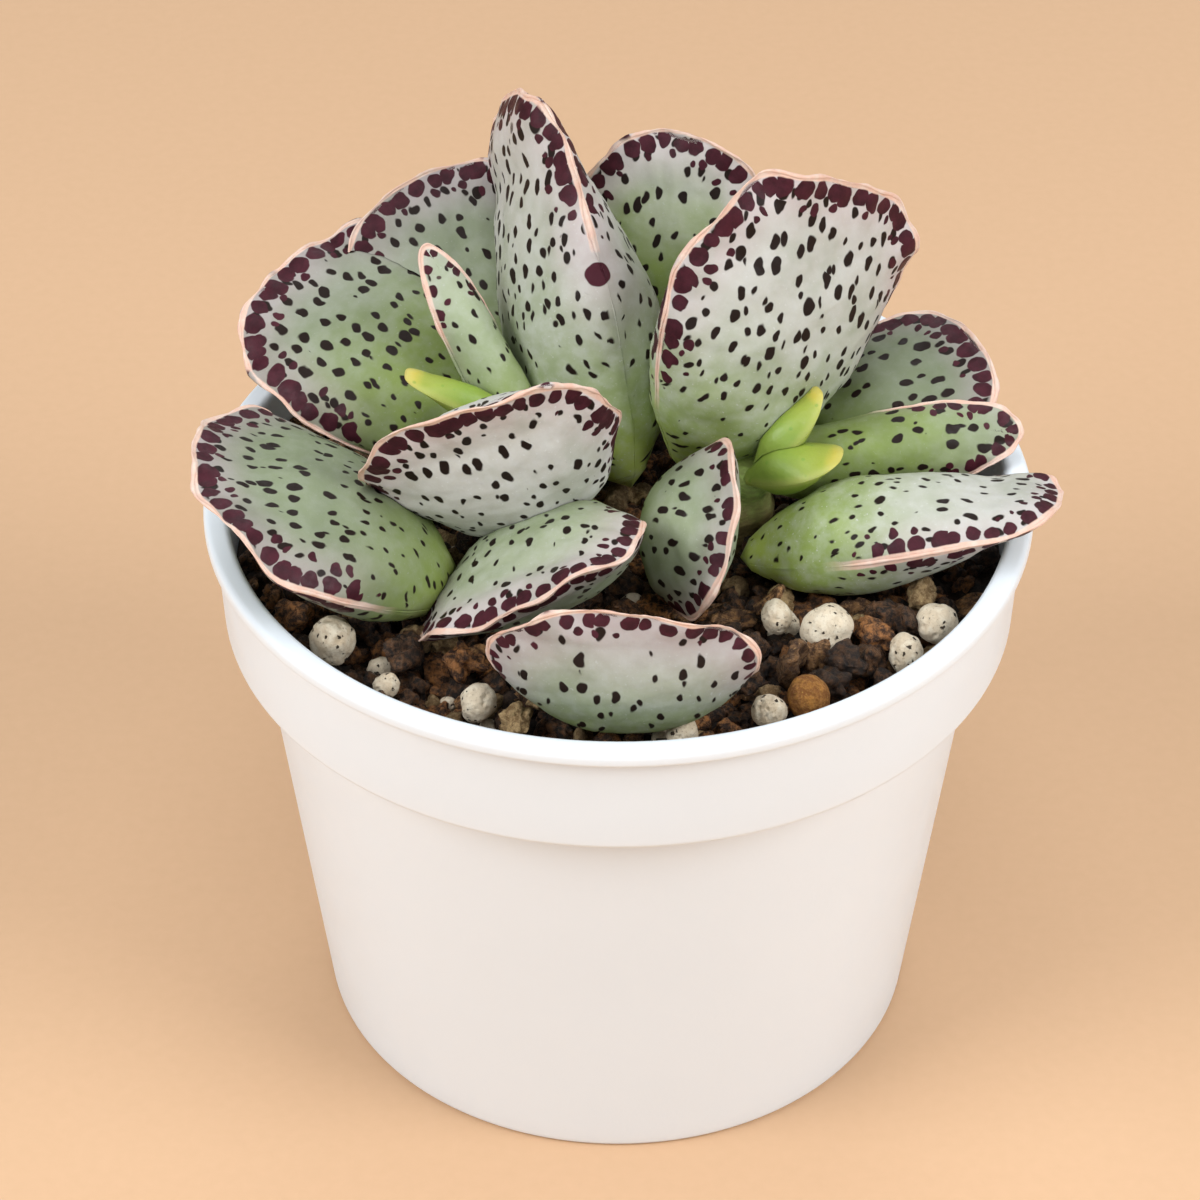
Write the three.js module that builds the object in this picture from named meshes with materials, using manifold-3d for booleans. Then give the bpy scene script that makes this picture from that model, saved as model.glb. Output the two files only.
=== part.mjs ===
// A potted plover eggs plant (Adromischus): fat spotted leaves with a wavy horny edge on short
// stems, in a gritty mix of pumice, baked clay and bark, in a white plastic nursery pot.
// Millimetres, +Z up, origin at the centre of the pot's foot. -Y is the front.
import * as THREE from "three";
import { mergeVertices } from "three/addons/utils/BufferGeometryUtils.js";
import Module from "manifold-3d";

const wasm = await Module();
wasm.setup();

// Pot
const POT_HEIGHT = 72;
const LIP_RADIUS = 48;
const LIP_THICK = 1.9;
const LIP_ROUND = 0.6;
const MOUTH_RADIUS = 45.1;
const COLLAR_DROP = 15; // from the lip's top to the step under the collar
const STEP_SLOPE = 0.5; // how far the step's underside rises outwards
const COLLAR_RADIUS = 46.3;
const COLLAR_TOP_RADIUS = 46.9;
const WALL_TOP_RADIUS = 42.6;
const FOOT_RADIUS = 36;
const FOOT_CHAMFER = 0.8;
const WALL_THICK = 1.4;
const FOOT_RING_WIDTH = 3.2;
const FOOT_RING_HEIGHT = 2;
const FOOT_PAD_RADIUS = 6;
const DRAIN_HOLES = 8;
const DRAIN_HOLE_RADIUS = 3.2;
const DRAIN_CIRCLE_RADIUS = 20;
const DRAIN_HOLE_SIDES = 16;
const POT_SIDES = 48;

// Clearance between pieces that touch
const SEAT_GAP = 0.3;
const EDGE_GAP = 1; // more at a leaf's waved edge

// Potting mix
const SOIL_TOP = 66;
const SOIL_FLAT_RADIUS = 20; // outside this the top falls a little towards the wall
const SOIL_EDGE_WIDTH = 3;
const SOIL_EDGE_DROP = 1;
const SOIL_SEED = 20;
const GRAIN_COUNT = 210;
const GRAIN_MIN = 1.8;
const GRAIN_MAX = 3.4;
const GRAIN_SCATTER = 1.6; // how far a grain strays from its place in the spiral
const GRAIN_SUNK = 0.35; // share of a grain's radius that its centre lies under the surface
// The large pumice and clay balls on top: x, y, radius
const LARGE_GRAINS = [
  [-31, -20, 3.0],
  [-14.3, -32, 2.2],
  [-24.8, -29, 1.5],
  [26.5, -17.5, 3.1],
  [20.8, -16.2, 1.9],
  [37.3, -16.4, 2.4],
  [35.4, -22, 1.9],
  [36.8, -12, 1.9],
  [19.8, -33.4, 2.1],
  [9.6, -40.4, 2.4],
  [-2.4, -40.8, 2.2],
  [-10, -39.8, 1.8],
  [24.6, -30.6, 2.9],
];

// Leaf mesh: spokes along each side of the spine, spokes round the tip, rings from spine to edge
const SIDE_SPOKES = 6;
const TIP_SPOKES = 12;
const RINGS = 4;
const SHOULDER = 0.62; // where a leaf is widest, as a share of its length
const ROOT_LENGTH = 6; // the stretch over which a leaf narrows to its joint
const ROOT_SHARE = 0.55; // what is left of its width and thickness at the joint
const JOINT_CONE = 0.3; // height of the cone that closes the joint, as a share of the neck
const FLARE_POWER = 1.15; // how late a leaf widens from its neck to its shoulder
// A leaf's thickness along its length: at the neck, added at the belly, taken off by the tip
const BELLY = { neck: 0.85, added: 0.45, place: 0.4, thinned: 0.55 };
const NECK_SLIM = { share: 0.7, growth: 1.2 }; // the neck is slimmer, up to full thickness
// A section's shape: 0.5 is an ellipse at the neck; higher is a lens with a sharper edge
const SECTION = { neck: 0.5, added: 0.28 };

// Short stems: foot and head, radius at each
const STEMS = {
  stem_left: { foot: [-8, 5, 56], head: [-10, 4, 77], foot_radius: 4.2, head_radius: 2.6 },
  stem_right: { foot: [14, 3, 56], head: [15, 1.5, 74.5], foot_radius: 4.2, head_radius: 2.6 },
  stem_back: { foot: [-2, 21, 58], head: [0, 23, 71], foot_radius: 3.4, head_radius: 2.4 },
};
const STEM_SIDES = 12;
const STEM_RINGS = 4; // swollen rings left by fallen leaves
const STEM_SWELL = 0.35;
const STEM_CROWN = 0.4; // height of the stem's blunt head, as a share of its radius

// Each leaf: the joint, its direction as azimuth from +X and elevation, its roll about its own
// length (degrees), then length, half-width, thickness, half-width of the neck, how square the
// tip is, and the height, number and phase of the waves in its edge.
const LEAVES = {
  leaf_tall: {
    at: [1, 6.7, 68.7], az: 119, el: 53, roll: -95,
    long: 46.6, half: 13.9, thick: 14.6, neck: 5.5, square: 2.2, wave: 0.9, waves: 5, phase: 0.4,
  },
  leaf_broad: {
    at: [8.4, 4.9, 72], az: 24, el: 61, roll: 96,
    long: 38.6, half: 16.2, thick: 13.4, neck: 5.5, square: 2.9, wave: 1.1, waves: 6, phase: 1.1,
  },
  leaf_left: {
    at: [-13.6, 7.2, 70.2], az: 142, el: 24, roll: -14,
    long: 35.9, half: 14.2, thick: 9, neck: 4.5, square: 2.7, wave: 1, waves: 5, phase: 2.6,
  },
  leaf_back_left: {
    at: [-7.9, 18, 66.8], az: 134, el: 44, roll: -21,
    long: 34.5, half: 13.7, thick: 9, neck: 4, square: 2.4, wave: 0.8, waves: 5, phase: 2,
  },
  leaf_back_middle: {
    at: [2.8, 25.2, 67.1], az: 48, el: 76, roll: 30,
    long: 34.1, half: 11.6, thick: 9, neck: 4, square: 2.2, wave: 0.8, waves: 5, phase: 0.2,
  },
  leaf_small: {
    at: [-9.7, 5.5, 71.6], az: 143, el: 56, roll: -17,
    long: 28.5, half: 3.4, thick: 7.3, neck: 3.2, square: 1.8, wave: 0.3, waves: 3, phase: 0.9,
  },
  leaf_front_high: {
    at: [-8.1, 0.8, 69.8], az: 243, el: 50, roll: 35,
    long: 33.7, half: 14.9, thick: 11.9, neck: 4.5, square: 2.3, wave: 0.7, waves: 5, phase: 0.6,
  },
  leaf_front_low: {
    at: [-6.4, -3.2, 67.7], az: 259, el: 19, roll: 30,
    long: 28.6, half: 14, thick: 10, neck: 4, square: 2, wave: 0.8, waves: 5, phase: 2.2,
  },
  leaf_left_low: {
    at: [-18.7, -13.6, 66.6], az: 178, el: 35, roll: 6,
    long: 35, half: 16.2, thick: 10.7, neck: 4.5, square: 2, wave: 0.9, waves: 6, phase: 1.7,
  },
  leaf_middle: {
    at: [5.1, -3.6, 68.3], az: 299, el: 34, roll: -118,
    long: 19, half: 10.2, thick: 9, neck: 4, square: 2.3, wave: 0.5, waves: 4, phase: 1.3,
  },
  leaf_front_bottom: {
    at: [0.8, -33.4, 64.7], az: 267, el: 74, roll: 0,
    long: 20.3, half: 14.8, thick: 8.8, neck: 5, square: 2.1, wave: 0.6, waves: 5, phase: 0.1,
  },
  leaf_right_low: {
    at: [15.5, -6.7, 67.1], az: 355, el: 17, roll: -13,
    long: 36.3, half: 9.1, thick: 10.4, neck: 5, square: 2, wave: 0.8, waves: 5, phase: 0.8,
  },
  leaf_right_high: {
    at: [17, 3.3, 71.5], az: 5, el: 9, roll: 46,
    long: 30.3, half: 4.7, thick: 8, neck: 4, square: 2.2, wave: 0.7, waves: 5, phase: 2.4,
  },
  leaf_back_right: {
    at: [20.1, 7.8, 67.9], az: 23, el: 28, roll: 11,
    long: 27.3, half: 10.4, thick: 8, neck: 3.5, square: 2.4, wave: 0.5, waves: 4, phase: 1.9,
  },
  sprout_front: {
    at: [15, -1, 74], az: 345, el: 25, roll: 0,
    long: 12, half: 3.6, thick: 5, neck: 2.4, square: 2, wave: 0, waves: 0, phase: 0,
  },
  sprout_back: {
    at: [16, -1.2, 75], az: 25, el: 50, roll: 0,
    long: 12, half: 2.8, thick: 3.8, neck: 1.8, square: 2, wave: 0, waves: 0, phase: 0,
  },
  sprout_left: {
    at: [-12, 4, 78], az: 177, el: 27, roll: 0,
    long: 14, half: 2.2, thick: 3.6, neck: 1.7, square: 2.6, wave: 0, waves: 0, phase: 0,
  },
};
const EDGE_CRIMP = 0.018; // how far the waves also draw the edge in and out, as a share

const LEAF_SKIN = { color: 0xa9bda4, roughness: 0.55 };
const SPROUT_SKIN = { color: 0x9fbf4a, roughness: 0.5 };
const STEM_BARK = { color: 0x9aa564, roughness: 0.7 };
const POTTING_MIX = { color: 0x5c4434, roughness: 0.95 };
const WHITE_PLASTIC = { color: 0xf2f0f0, roughness: 0.35 };

const DEG = Math.PI / 180;

// Meshes and solids

function solidOf(geometry) {
  const bare = geometry.clone();
  bare.deleteAttribute("normal");
  bare.deleteAttribute("uv");
  const merged = mergeVertices(bare, 1e-3);
  return new wasm.Manifold(
    new wasm.Mesh({
      numProp: 3,
      vertProperties: new Float32Array(merged.attributes.position.array),
      triVerts: new Uint32Array(merged.index.array),
    }),
  );
}

function geometryOf(solid) {
  const mesh = solid.getMesh();
  const corners = new Float32Array(mesh.numVert * 3);
  for (let i = 0; i < mesh.numVert; i++) {
    const start = i * mesh.numProp;
    corners.set(mesh.vertProperties.subarray(start, start + 3), i * 3);
  }
  return new THREE.BufferGeometry()
    .setAttribute("position", new THREE.BufferAttribute(corners, 3))
    .setIndex(new THREE.BufferAttribute(mesh.triVerts, 1));
}

// A cut can leave scraps beside the piece itself; only the largest body is the piece.
function largestBody(solid) {
  const bodies = solid.decompose();
  return bodies.reduce((best, body) => (body.volume() > best.volume() ? body : best));
}

// Three.js turns a lathe about Y, so the profile is (radius, height) and is stood up on Z.
function lathe(profile, sides) {
  const points = profile.map(([radius, height]) => new THREE.Vector2(radius, height));
  return new THREE.LatheGeometry(points, sides).rotateX(Math.PI / 2);
}

// The same sequence on every run.
function seeded(seed) {
  let state = seed;
  return () => {
    state = (state * 1664525 + 1013904223) % 4294967296;
    return state / 4294967296;
  };
}

// Leaves

// How far the narrowing at the joint has let go, at a distance y along the leaf.
function rootShare(y) {
  const grown = Math.sin((Math.PI / 2) * Math.min(1, y / ROOT_LENGTH));
  return ROOT_SHARE + (1 - ROOT_SHARE) * grown;
}

function halfWidth(leaf, y) {
  const t = y / (leaf.long * SHOULDER);
  const flare = Math.sin((Math.PI / 2) * t ** FLARE_POWER);
  return (leaf.neck + (leaf.half - leaf.neck) * flare) * rootShare(y);
}

// Height of a face over the middle plane, at a distance y along and a share r out to the edge:
// round at the neck, a lens with a sharp edge further out.
function bulge(leaf, y, r) {
  const t = Math.max(0, y) / leaf.long;
  const belly = Math.sin(Math.PI * Math.min(1, t / (2 * BELLY.place)));
  const along = BELLY.neck + BELLY.added * belly - BELLY.thinned * t * t;
  const sharpness = SECTION.neck + SECTION.added * Math.min(1, t / SHOULDER);
  const slim = Math.min(1, NECK_SLIM.share + NECK_SLIM.growth * t);
  return (leaf.thick / 2) * along * slim * rootShare(Math.max(0, y)) * (1 - r * r) ** sharpness;
}

// Spokes from the spine to the edge, from the right of the joint round the tip to its left.
function leafSpokes(leaf) {
  const shoulder = leaf.long * SHOULDER;
  const right = [];
  for (let i = 0; i < SIDE_SPOKES; i++) {
    const y = shoulder * (i / SIDE_SPOKES);
    right.push({ spine: y, x: halfWidth(leaf, y), y });
  }
  const left = right.map((spoke) => ({ ...spoke, x: -spoke.x })).reverse();
  const tip = [];
  for (let i = 0; i <= TIP_SPOKES; i++) {
    const angle = (Math.PI * i) / TIP_SPOKES;
    const power = 2 / leaf.square;
    const across = Math.abs(Math.cos(angle)) ** power * Math.sign(Math.cos(angle));
    const out = Math.sin(angle) ** power;
    const y = shoulder + (leaf.long - shoulder) * out;
    tip.push({ spine: shoulder, x: leaf.half * across, y });
  }
  return [...right, ...tip, ...left];
}

// A leaf in its own frame: +Y along its length, +Z out of its upper face, the joint at the origin.
// Both faces are split into triangles alike and share the waved edge.
function leafGeometry(leaf) {
  const spokes = leafSpokes(leaf);
  const last = spokes.length - 1;
  const corners = [];
  const faces = [];
  const put = (x, y, z) => corners.push(x, y, z) / 3 - 1;

  const edge = spokes.map(({ x, y, spine }, i) => {
    const share = i / last;
    const distal = Math.sin(Math.PI * share) ** 2;
    const wave = distal * Math.sin(2 * Math.PI * leaf.waves * share + leaf.phase);
    const crimp = 1 + EDGE_CRIMP * distal * Math.cos(4 * Math.PI * leaf.waves * share);
    return put(x * crimp, spine + (y - spine) * crimp, leaf.wave * wave);
  });

  const rims = [];
  for (const side of [1, -1]) {
    // The spine's points belong to the spokes of both halves.
    const spine = new Map();
    const rows = spokes.map((spoke, i) => {
      const row = [edge[i]];
      for (let j = RINGS - 1; j >= 1; j--) {
        const r = Math.sin(((Math.PI / 2) * j) / RINGS);
        const y = spoke.spine + (spoke.y - spoke.spine) * r;
        row.push(put(spoke.x * r, y, side * bulge(leaf, y, r)));
      }
      if (!spine.has(spoke.spine)) {
        spine.set(spoke.spine, put(0, spoke.spine, side * bulge(leaf, spoke.spine, 0)));
      }
      row.push(spine.get(spoke.spine));
      return row;
    });
    const face = (a, b, c) => {
      if (a === b || b === c || a === c) return;
      faces.push(...(side > 0 ? [a, b, c] : [a, c, b]));
    };
    for (let i = 0; i < last; i++) {
      for (let j = 0; j < RINGS; j++) {
        face(rows[i][j], rows[i + 1][j], rows[i + 1][j + 1]);
        face(rows[i][j], rows[i + 1][j + 1], rows[i][j + 1]);
      }
    }
    rims.push([...rows[0], ...rows[last].slice(0, -1).reverse()]);
  }

  // The joint's end is closed by a low cone.
  const [top, bottom] = rims;
  const joint = [...top, ...bottom.slice(1, -1).reverse()];
  const hub = put(0, -JOINT_CONE * leaf.neck, 0);
  joint.forEach((corner, i) => faces.push(hub, corner, joint[(i + 1) % joint.length]));
  return new THREE.BufferGeometry()
    .setAttribute("position", new THREE.Float32BufferAttribute(corners, 3))
    .setIndex(faces)
    .applyMatrix4(leafMatrix(leaf));
}

// From a leaf's own frame to the pot's: along its direction, with its upper face up before the roll.
function leafMatrix(leaf) {
  const el = leaf.el * DEG;
  const heading = new THREE.Vector3(Math.cos(leaf.az * DEG), Math.sin(leaf.az * DEG), 0);
  const along = heading.clone().multiplyScalar(Math.cos(el)).setZ(Math.sin(el));
  const up = heading.multiplyScalar(-Math.sin(el)).setZ(Math.cos(el));
  up.applyAxisAngle(along, leaf.roll * DEG);
  const across = new THREE.Vector3().crossVectors(along, up);
  return new THREE.Matrix4().makeBasis(across, along, up).setPosition(...leaf.at);
}

// The leaf with a clearance all round, to press a dent into what lies against it.
function grownLeaf(leaf) {
  return {
    ...leaf,
    long: leaf.long + EDGE_GAP,
    half: leaf.half + EDGE_GAP,
    neck: leaf.neck + SEAT_GAP / ROOT_SHARE,
    thick: leaf.thick + (2 * SEAT_GAP) / ROOT_SHARE,
  };
}

// Stems: tapered, with a low ring at each old leaf joint.
function stemGeometry(stem, grow = 0) {
  const foot = new THREE.Vector3(...stem.foot);
  const head = new THREE.Vector3(...stem.head);
  const long = foot.distanceTo(head);
  const profile = [[0, -grow]];
  for (let i = 0; i <= 2 * STEM_RINGS; i++) {
    const t = i / (2 * STEM_RINGS);
    const taper = stem.foot_radius + (stem.head_radius - stem.foot_radius) * t;
    profile.push([taper + (i % 2) * STEM_SWELL + grow, i === 0 ? -grow : t * long]);
  }
  profile.push([0, long + STEM_CROWN * stem.head_radius + grow]);
  const turn = new THREE.Quaternion().setFromUnitVectors(
    new THREE.Vector3(0, 0, 1),
    head.clone().sub(foot).normalize(),
  );
  return lathe(profile, STEM_SIDES)
    .applyQuaternion(turn)
    .translate(...stem.foot);
}

// The pot: rounded lip, collar with a small step, tapering wall, floor on a foot ring and a
// centre pad, drain holes.
function potSolid() {
  const step = POT_HEIGHT - COLLAR_DROP;
  const floor = FOOT_RING_HEIGHT;
  const lipUnder = POT_HEIGHT - LIP_THICK;
  const profile = [
    [0, 0],
    [FOOT_PAD_RADIUS, 0],
    [FOOT_PAD_RADIUS, floor],
    [FOOT_RADIUS - FOOT_RING_WIDTH, floor],
    [FOOT_RADIUS - FOOT_RING_WIDTH, 0],
    [FOOT_RADIUS - FOOT_CHAMFER, 0],
    [FOOT_RADIUS, FOOT_CHAMFER],
    [WALL_TOP_RADIUS, step - STEP_SLOPE],
    [COLLAR_RADIUS - LIP_ROUND, step],
    [COLLAR_RADIUS, step + LIP_ROUND],
    [COLLAR_TOP_RADIUS, lipUnder - LIP_ROUND / 2],
    [LIP_RADIUS - LIP_ROUND / 2, lipUnder],
    [LIP_RADIUS, lipUnder + LIP_ROUND],
    [LIP_RADIUS, POT_HEIGHT - LIP_ROUND],
    [LIP_RADIUS - LIP_ROUND, POT_HEIGHT],
    [MOUTH_RADIUS + LIP_ROUND, POT_HEIGHT],
    [MOUTH_RADIUS, POT_HEIGHT - LIP_ROUND],
    [COLLAR_RADIUS - WALL_THICK, step + WALL_THICK],
    [WALL_TOP_RADIUS - WALL_THICK, step],
    [FOOT_RADIUS - WALL_THICK, floor + WALL_THICK],
    [0, floor + WALL_THICK],
  ];
  let pot = solidOf(lathe(profile, POT_SIDES));
  const drillLength = 6 * WALL_THICK;
  for (let i = 0; i < DRAIN_HOLES; i++) {
    const angle = (2 * Math.PI * (i + 0.5)) / DRAIN_HOLES;
    const x = DRAIN_CIRCLE_RADIUS * Math.cos(angle);
    const y = DRAIN_CIRCLE_RADIUS * Math.sin(angle);
    const radius = DRAIN_HOLE_RADIUS;
    const drill = new THREE.CylinderGeometry(radius, radius, drillLength, DRAIN_HOLE_SIDES)
      .rotateX(Math.PI / 2)
      .translate(x, y, floor);
    pot = pot.subtract(solidOf(drill));
  }
  return pot;
}

// Radius of the pot's inside at a height.
function insideRadius(z) {
  const step = POT_HEIGHT - COLLAR_DROP;
  const bottom = FOOT_RING_HEIGHT + WALL_THICK;
  if (z <= step) {
    const t = (z - bottom) / (step - bottom);
    return FOOT_RADIUS - WALL_THICK + (WALL_TOP_RADIUS - FOOT_RADIUS) * t;
  }
  const t = (z - step - WALL_THICK) / (COLLAR_DROP - WALL_THICK - LIP_ROUND);
  const low = COLLAR_RADIUS - WALL_THICK;
  return low + (MOUTH_RADIUS - low) * Math.max(0, Math.min(1, t));
}

// One grain: a pebble with few faces, squashed and turned at random.
function grain(shape, x, y, radius, random) {
  const squash = (least, spread) => least + spread * random();
  shape
    .scale(squash(0.85, 0.3), squash(0.85, 0.3), squash(0.75, 0.25))
    .rotateZ(2 * Math.PI * random())
    .rotateX(2 * Math.PI * random())
    .translate(x, y, SOIL_TOP - GRAIN_SUNK * radius);
  return solidOf(shape);
}

// The mix fills the pot up to a few millimetres under the lip; grains stand out of its top.
function soilSolid(holes) {
  const random = seeded(SOIL_SEED);
  const bottom = FOOT_RING_HEIGHT + WALL_THICK + SEAT_GAP;
  const step = POT_HEIGHT - COLLAR_DROP;
  const reach = insideRadius(SOIL_TOP) - SEAT_GAP;
  const profile = [
    [0, bottom],
    [insideRadius(bottom) - SEAT_GAP, bottom],
    [insideRadius(step) - SEAT_GAP, step + SEAT_GAP],
    [reach, step + WALL_THICK + 2 * SEAT_GAP],
    [reach, SOIL_TOP - SOIL_EDGE_DROP],
    [reach - SOIL_EDGE_WIDTH, SOIL_TOP - 0.4 * SOIL_EDGE_DROP],
    [SOIL_FLAT_RADIUS, SOIL_TOP],
    [0, SOIL_TOP],
  ];
  const grains = LARGE_GRAINS.map(([x, y, radius]) =>
    grain(new THREE.IcosahedronGeometry(radius, 0), x, y, radius, random),
  );
  // A sunflower spiral spreads the small ones evenly over the top.
  for (let i = 0; i < GRAIN_COUNT; i++) {
    const radius = GRAIN_MIN + (GRAIN_MAX - GRAIN_MIN) * random() ** 2;
    const angle = i * Math.PI * (3 - Math.sqrt(5));
    const widest = reach - GRAIN_SCATTER - 1.15 * radius;
    const out = widest * Math.sqrt((i + 0.5) / GRAIN_COUNT);
    const x = out * Math.cos(angle) + GRAIN_SCATTER * (random() - 0.5);
    const y = out * Math.sin(angle) + GRAIN_SCATTER * (random() - 0.5);
    grains.push(grain(new THREE.OctahedronGeometry(radius, 0), x, y, radius, random));
  }
  let soil = wasm.Manifold.union([solidOf(lathe(profile, POT_SIDES)), ...grains]);
  for (const hole of holes) soil = soil.subtract(hole);
  return largestBody(soil);
}

// Assembly

const plant = new THREE.Group();

function add(name, solid, { color, roughness }) {
  const material = new THREE.MeshStandardMaterial({ color, roughness, metalness: 0 });
  const mesh = new THREE.Mesh(geometryOf(solid), material);
  mesh.name = name;
  plant.add(mesh);
}

add("pot", potSolid(), WHITE_PLASTIC);

// What later pieces must keep clear of: each stem and leaf with its clearance.
const clearances = [];
for (const [name, stem] of Object.entries(STEMS)) {
  add(name, solidOf(stemGeometry(stem)), STEM_BARK);
  clearances.push(solidOf(stemGeometry(stem, SEAT_GAP)));
}
for (const [name, leaf] of Object.entries(LEAVES)) {
  let body = solidOf(leafGeometry(leaf));
  for (const clearance of clearances) {
    if (!clearance.intersect(body).isEmpty()) body = body.subtract(clearance);
  }
  add(name, largestBody(body), name.startsWith("sprout") ? SPROUT_SKIN : LEAF_SKIN);
  clearances.push(solidOf(leafGeometry(grownLeaf(leaf))));
}
add("soil", soilSolid(clearances), POTTING_MIX);

export default plant;
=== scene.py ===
import math

import bmesh
import bpy
import numpy as np
from mathutils import Matrix, Vector
from mathutils.bvhtree import BVHTree


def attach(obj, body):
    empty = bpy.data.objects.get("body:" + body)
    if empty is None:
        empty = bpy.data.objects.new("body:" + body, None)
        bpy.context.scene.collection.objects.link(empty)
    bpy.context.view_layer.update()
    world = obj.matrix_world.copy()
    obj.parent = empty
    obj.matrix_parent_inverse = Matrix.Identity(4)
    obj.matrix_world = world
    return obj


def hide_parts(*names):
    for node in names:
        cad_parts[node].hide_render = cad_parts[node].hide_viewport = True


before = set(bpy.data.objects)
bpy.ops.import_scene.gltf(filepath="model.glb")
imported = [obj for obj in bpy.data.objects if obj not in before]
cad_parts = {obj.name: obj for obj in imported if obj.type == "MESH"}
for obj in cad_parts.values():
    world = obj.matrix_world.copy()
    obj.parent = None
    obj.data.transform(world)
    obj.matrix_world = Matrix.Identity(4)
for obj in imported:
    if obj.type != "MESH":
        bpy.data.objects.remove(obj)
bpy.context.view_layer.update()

MM = 0.001
BODY = "root"
TINY = 1e-6
FULL_TURN = 2 * math.pi
GOLDEN_ANGLE = math.pi * (3 - math.sqrt(5))


def table(columns, rows):
    """Rows of values by name, as dicts with the named columns."""
    keys = columns.split()
    return {name: dict(zip(keys, row)) for name, row in rows.items()}


# Pot, in millimetres
POT_HEIGHT = 72
LIP_RADIUS = 48
LIP_THICK = 1.9
MOUTH_RADIUS = 45.1
COLLAR_DROP = 15  # from the lip's top to the step under the collar
COLLAR_RADIUS = 46.3
COLLAR_TOP_RADIUS = 46.9
WALL_TOP_RADIUS = 42.6
WALL_THICK = 1.4
STEP_SLOPE = 0.5
FOOT_RADIUS = 36
FOOT_RING_WIDTH = 3.2
FOOT_RING_HEIGHT = 2
FOOT_PAD_RADIUS = 6
DRAIN_HOLES = 8
DRAIN_HOLE_RADIUS = 3.2
DRAIN_HOLE_SIDES = 40
DRAIN_CIRCLE_RADIUS = 20
STEP_HEIGHT = POT_HEIGHT - COLLAR_DROP
INNER_FLOOR = FOOT_RING_HEIGHT + WALL_THICK
POT_SIDES = 160
ARC_STEPS = 8
ARC_ROOM = 0.49  # share of a stretch that one arc may take up
LONGEST_EDGE = 3.0
MOUTH_EDGE = 0.6  # from the lip's top down to where the mouth is widest

# Potting mix
SOIL_TOP = 66
SOIL_SEED = 20
SEAT_GAP = 0.3
BED_DEPTH = 3.2  # of the fines under the nominal top
BED_SKIRT = 0.6
BED_RINGS = 64
BED_SIDES = 176

# Stems
STEMS = table("foot head foot_radius head_radius", {
    "stem_left": ((-8, 5, 56), (-10, 4, 77), 4.2, 2.6),
    "stem_right": ((14, 3, 56), (15, 1.5, 74.5), 4.2, 2.6),
    "stem_back": ((-2, 21, 58), (0, 23, 71), 3.4, 2.4),
})
STEM_SIDES = 48
STEM_STEPS = 60
STEM_RINGS = 4  # swollen rings left by fallen leaves
STEM_SWELL = 0.35
STEM_CROWN = 0.1  # share of the stem that its round head takes up
STEM_TIP = 0.02  # what is left of the width at the head
STEM_SEED = 900

# Leaf form, as in the solids
SHOULDER = 0.62  # where a leaf is widest, as a share of its length
ROOT_LENGTH = 6  # the stretch over which a leaf narrows to its joint
ROOT_SHARE = 0.55  # what is left of its width and thickness at the joint
JOINT_CONE = 0.3  # height of the cone that closes the joint, as a share of the neck
FLARE_POWER = 1.15  # how late a leaf widens from its neck to its shoulder
BELLY = dict(neck=0.85, added=0.45, place=0.4, thinned=0.55)  # thickness along the leaf
NECK_SLIM = dict(share=0.7, growth=1.2)  # the neck is slimmer, up to full thickness
SECTION = dict(neck=0.5, added=0.28)  # 0.5 is an ellipse; higher is a lens with a sharper edge
EDGE_CRIMP = 0.018  # depth of the edge's scallops, as a share of the way to the spine

# Finer form of the leaves
SHARP_FROM_HERE = 0.60  # share of the length where the edge has its full sharpness
BLUNT_STRETCH = (0.75, 0.95)  # share of the length over which a blunt tip thickens
WAVE_START = 0.62  # share of the way to the edge where its waves begin
TIP_CALM = 0.04  # share of the way round over which the edge is calm at the tip
TIP_WAVE = 0.1  # what is left of the waves there
WOBBLE = dict(size=7.0, share=0.22)  # uneven waves
SCALLOPS = dict(size=5.0, depth=0.006, shift=40)  # uneven scallops
BEAD_RADIUS = 0.14  # the horny bead along the edge, where it is grown out
BEAD_LEAST = 0.02
BEAD_GROWTH = 0.24  # share of the length over which it grows out
BEAD_VARIES = dict(size=2.2, share=0.16, shift=80)
BEAD_ANGLES = np.radians([50, 75, 100, 128, 154])
GROOVE_DEPTH = 0.10  # of the groove inside the bead, as a share of the thickness
GROOVE_WIDTH = 0.8
SKIN_RELIEF = ((0.10, 9.0, 0), (0.035, 3.1, 100), (0.012, 1.3, 200))
RELIEF_FULL = 12  # half-width from which a leaf has the full relief
RELIEF_LEAST = 0.35
RELIEF_SEED = 500
LEAF_GAP = 0.12

# Leaf mesh: spokes along each side and round the tip, rings from the spine to the edge
SIDE_SPOKES = 56
TIP_SPOKES = 112
RINGS = 24
RING_CROWDING = 0.95  # how far the rings crowd towards a plain edge
BEAD_EASING = 0.55  # how much less they crowd towards a beaded one
TIP_SAMPLES = 4000

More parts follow.
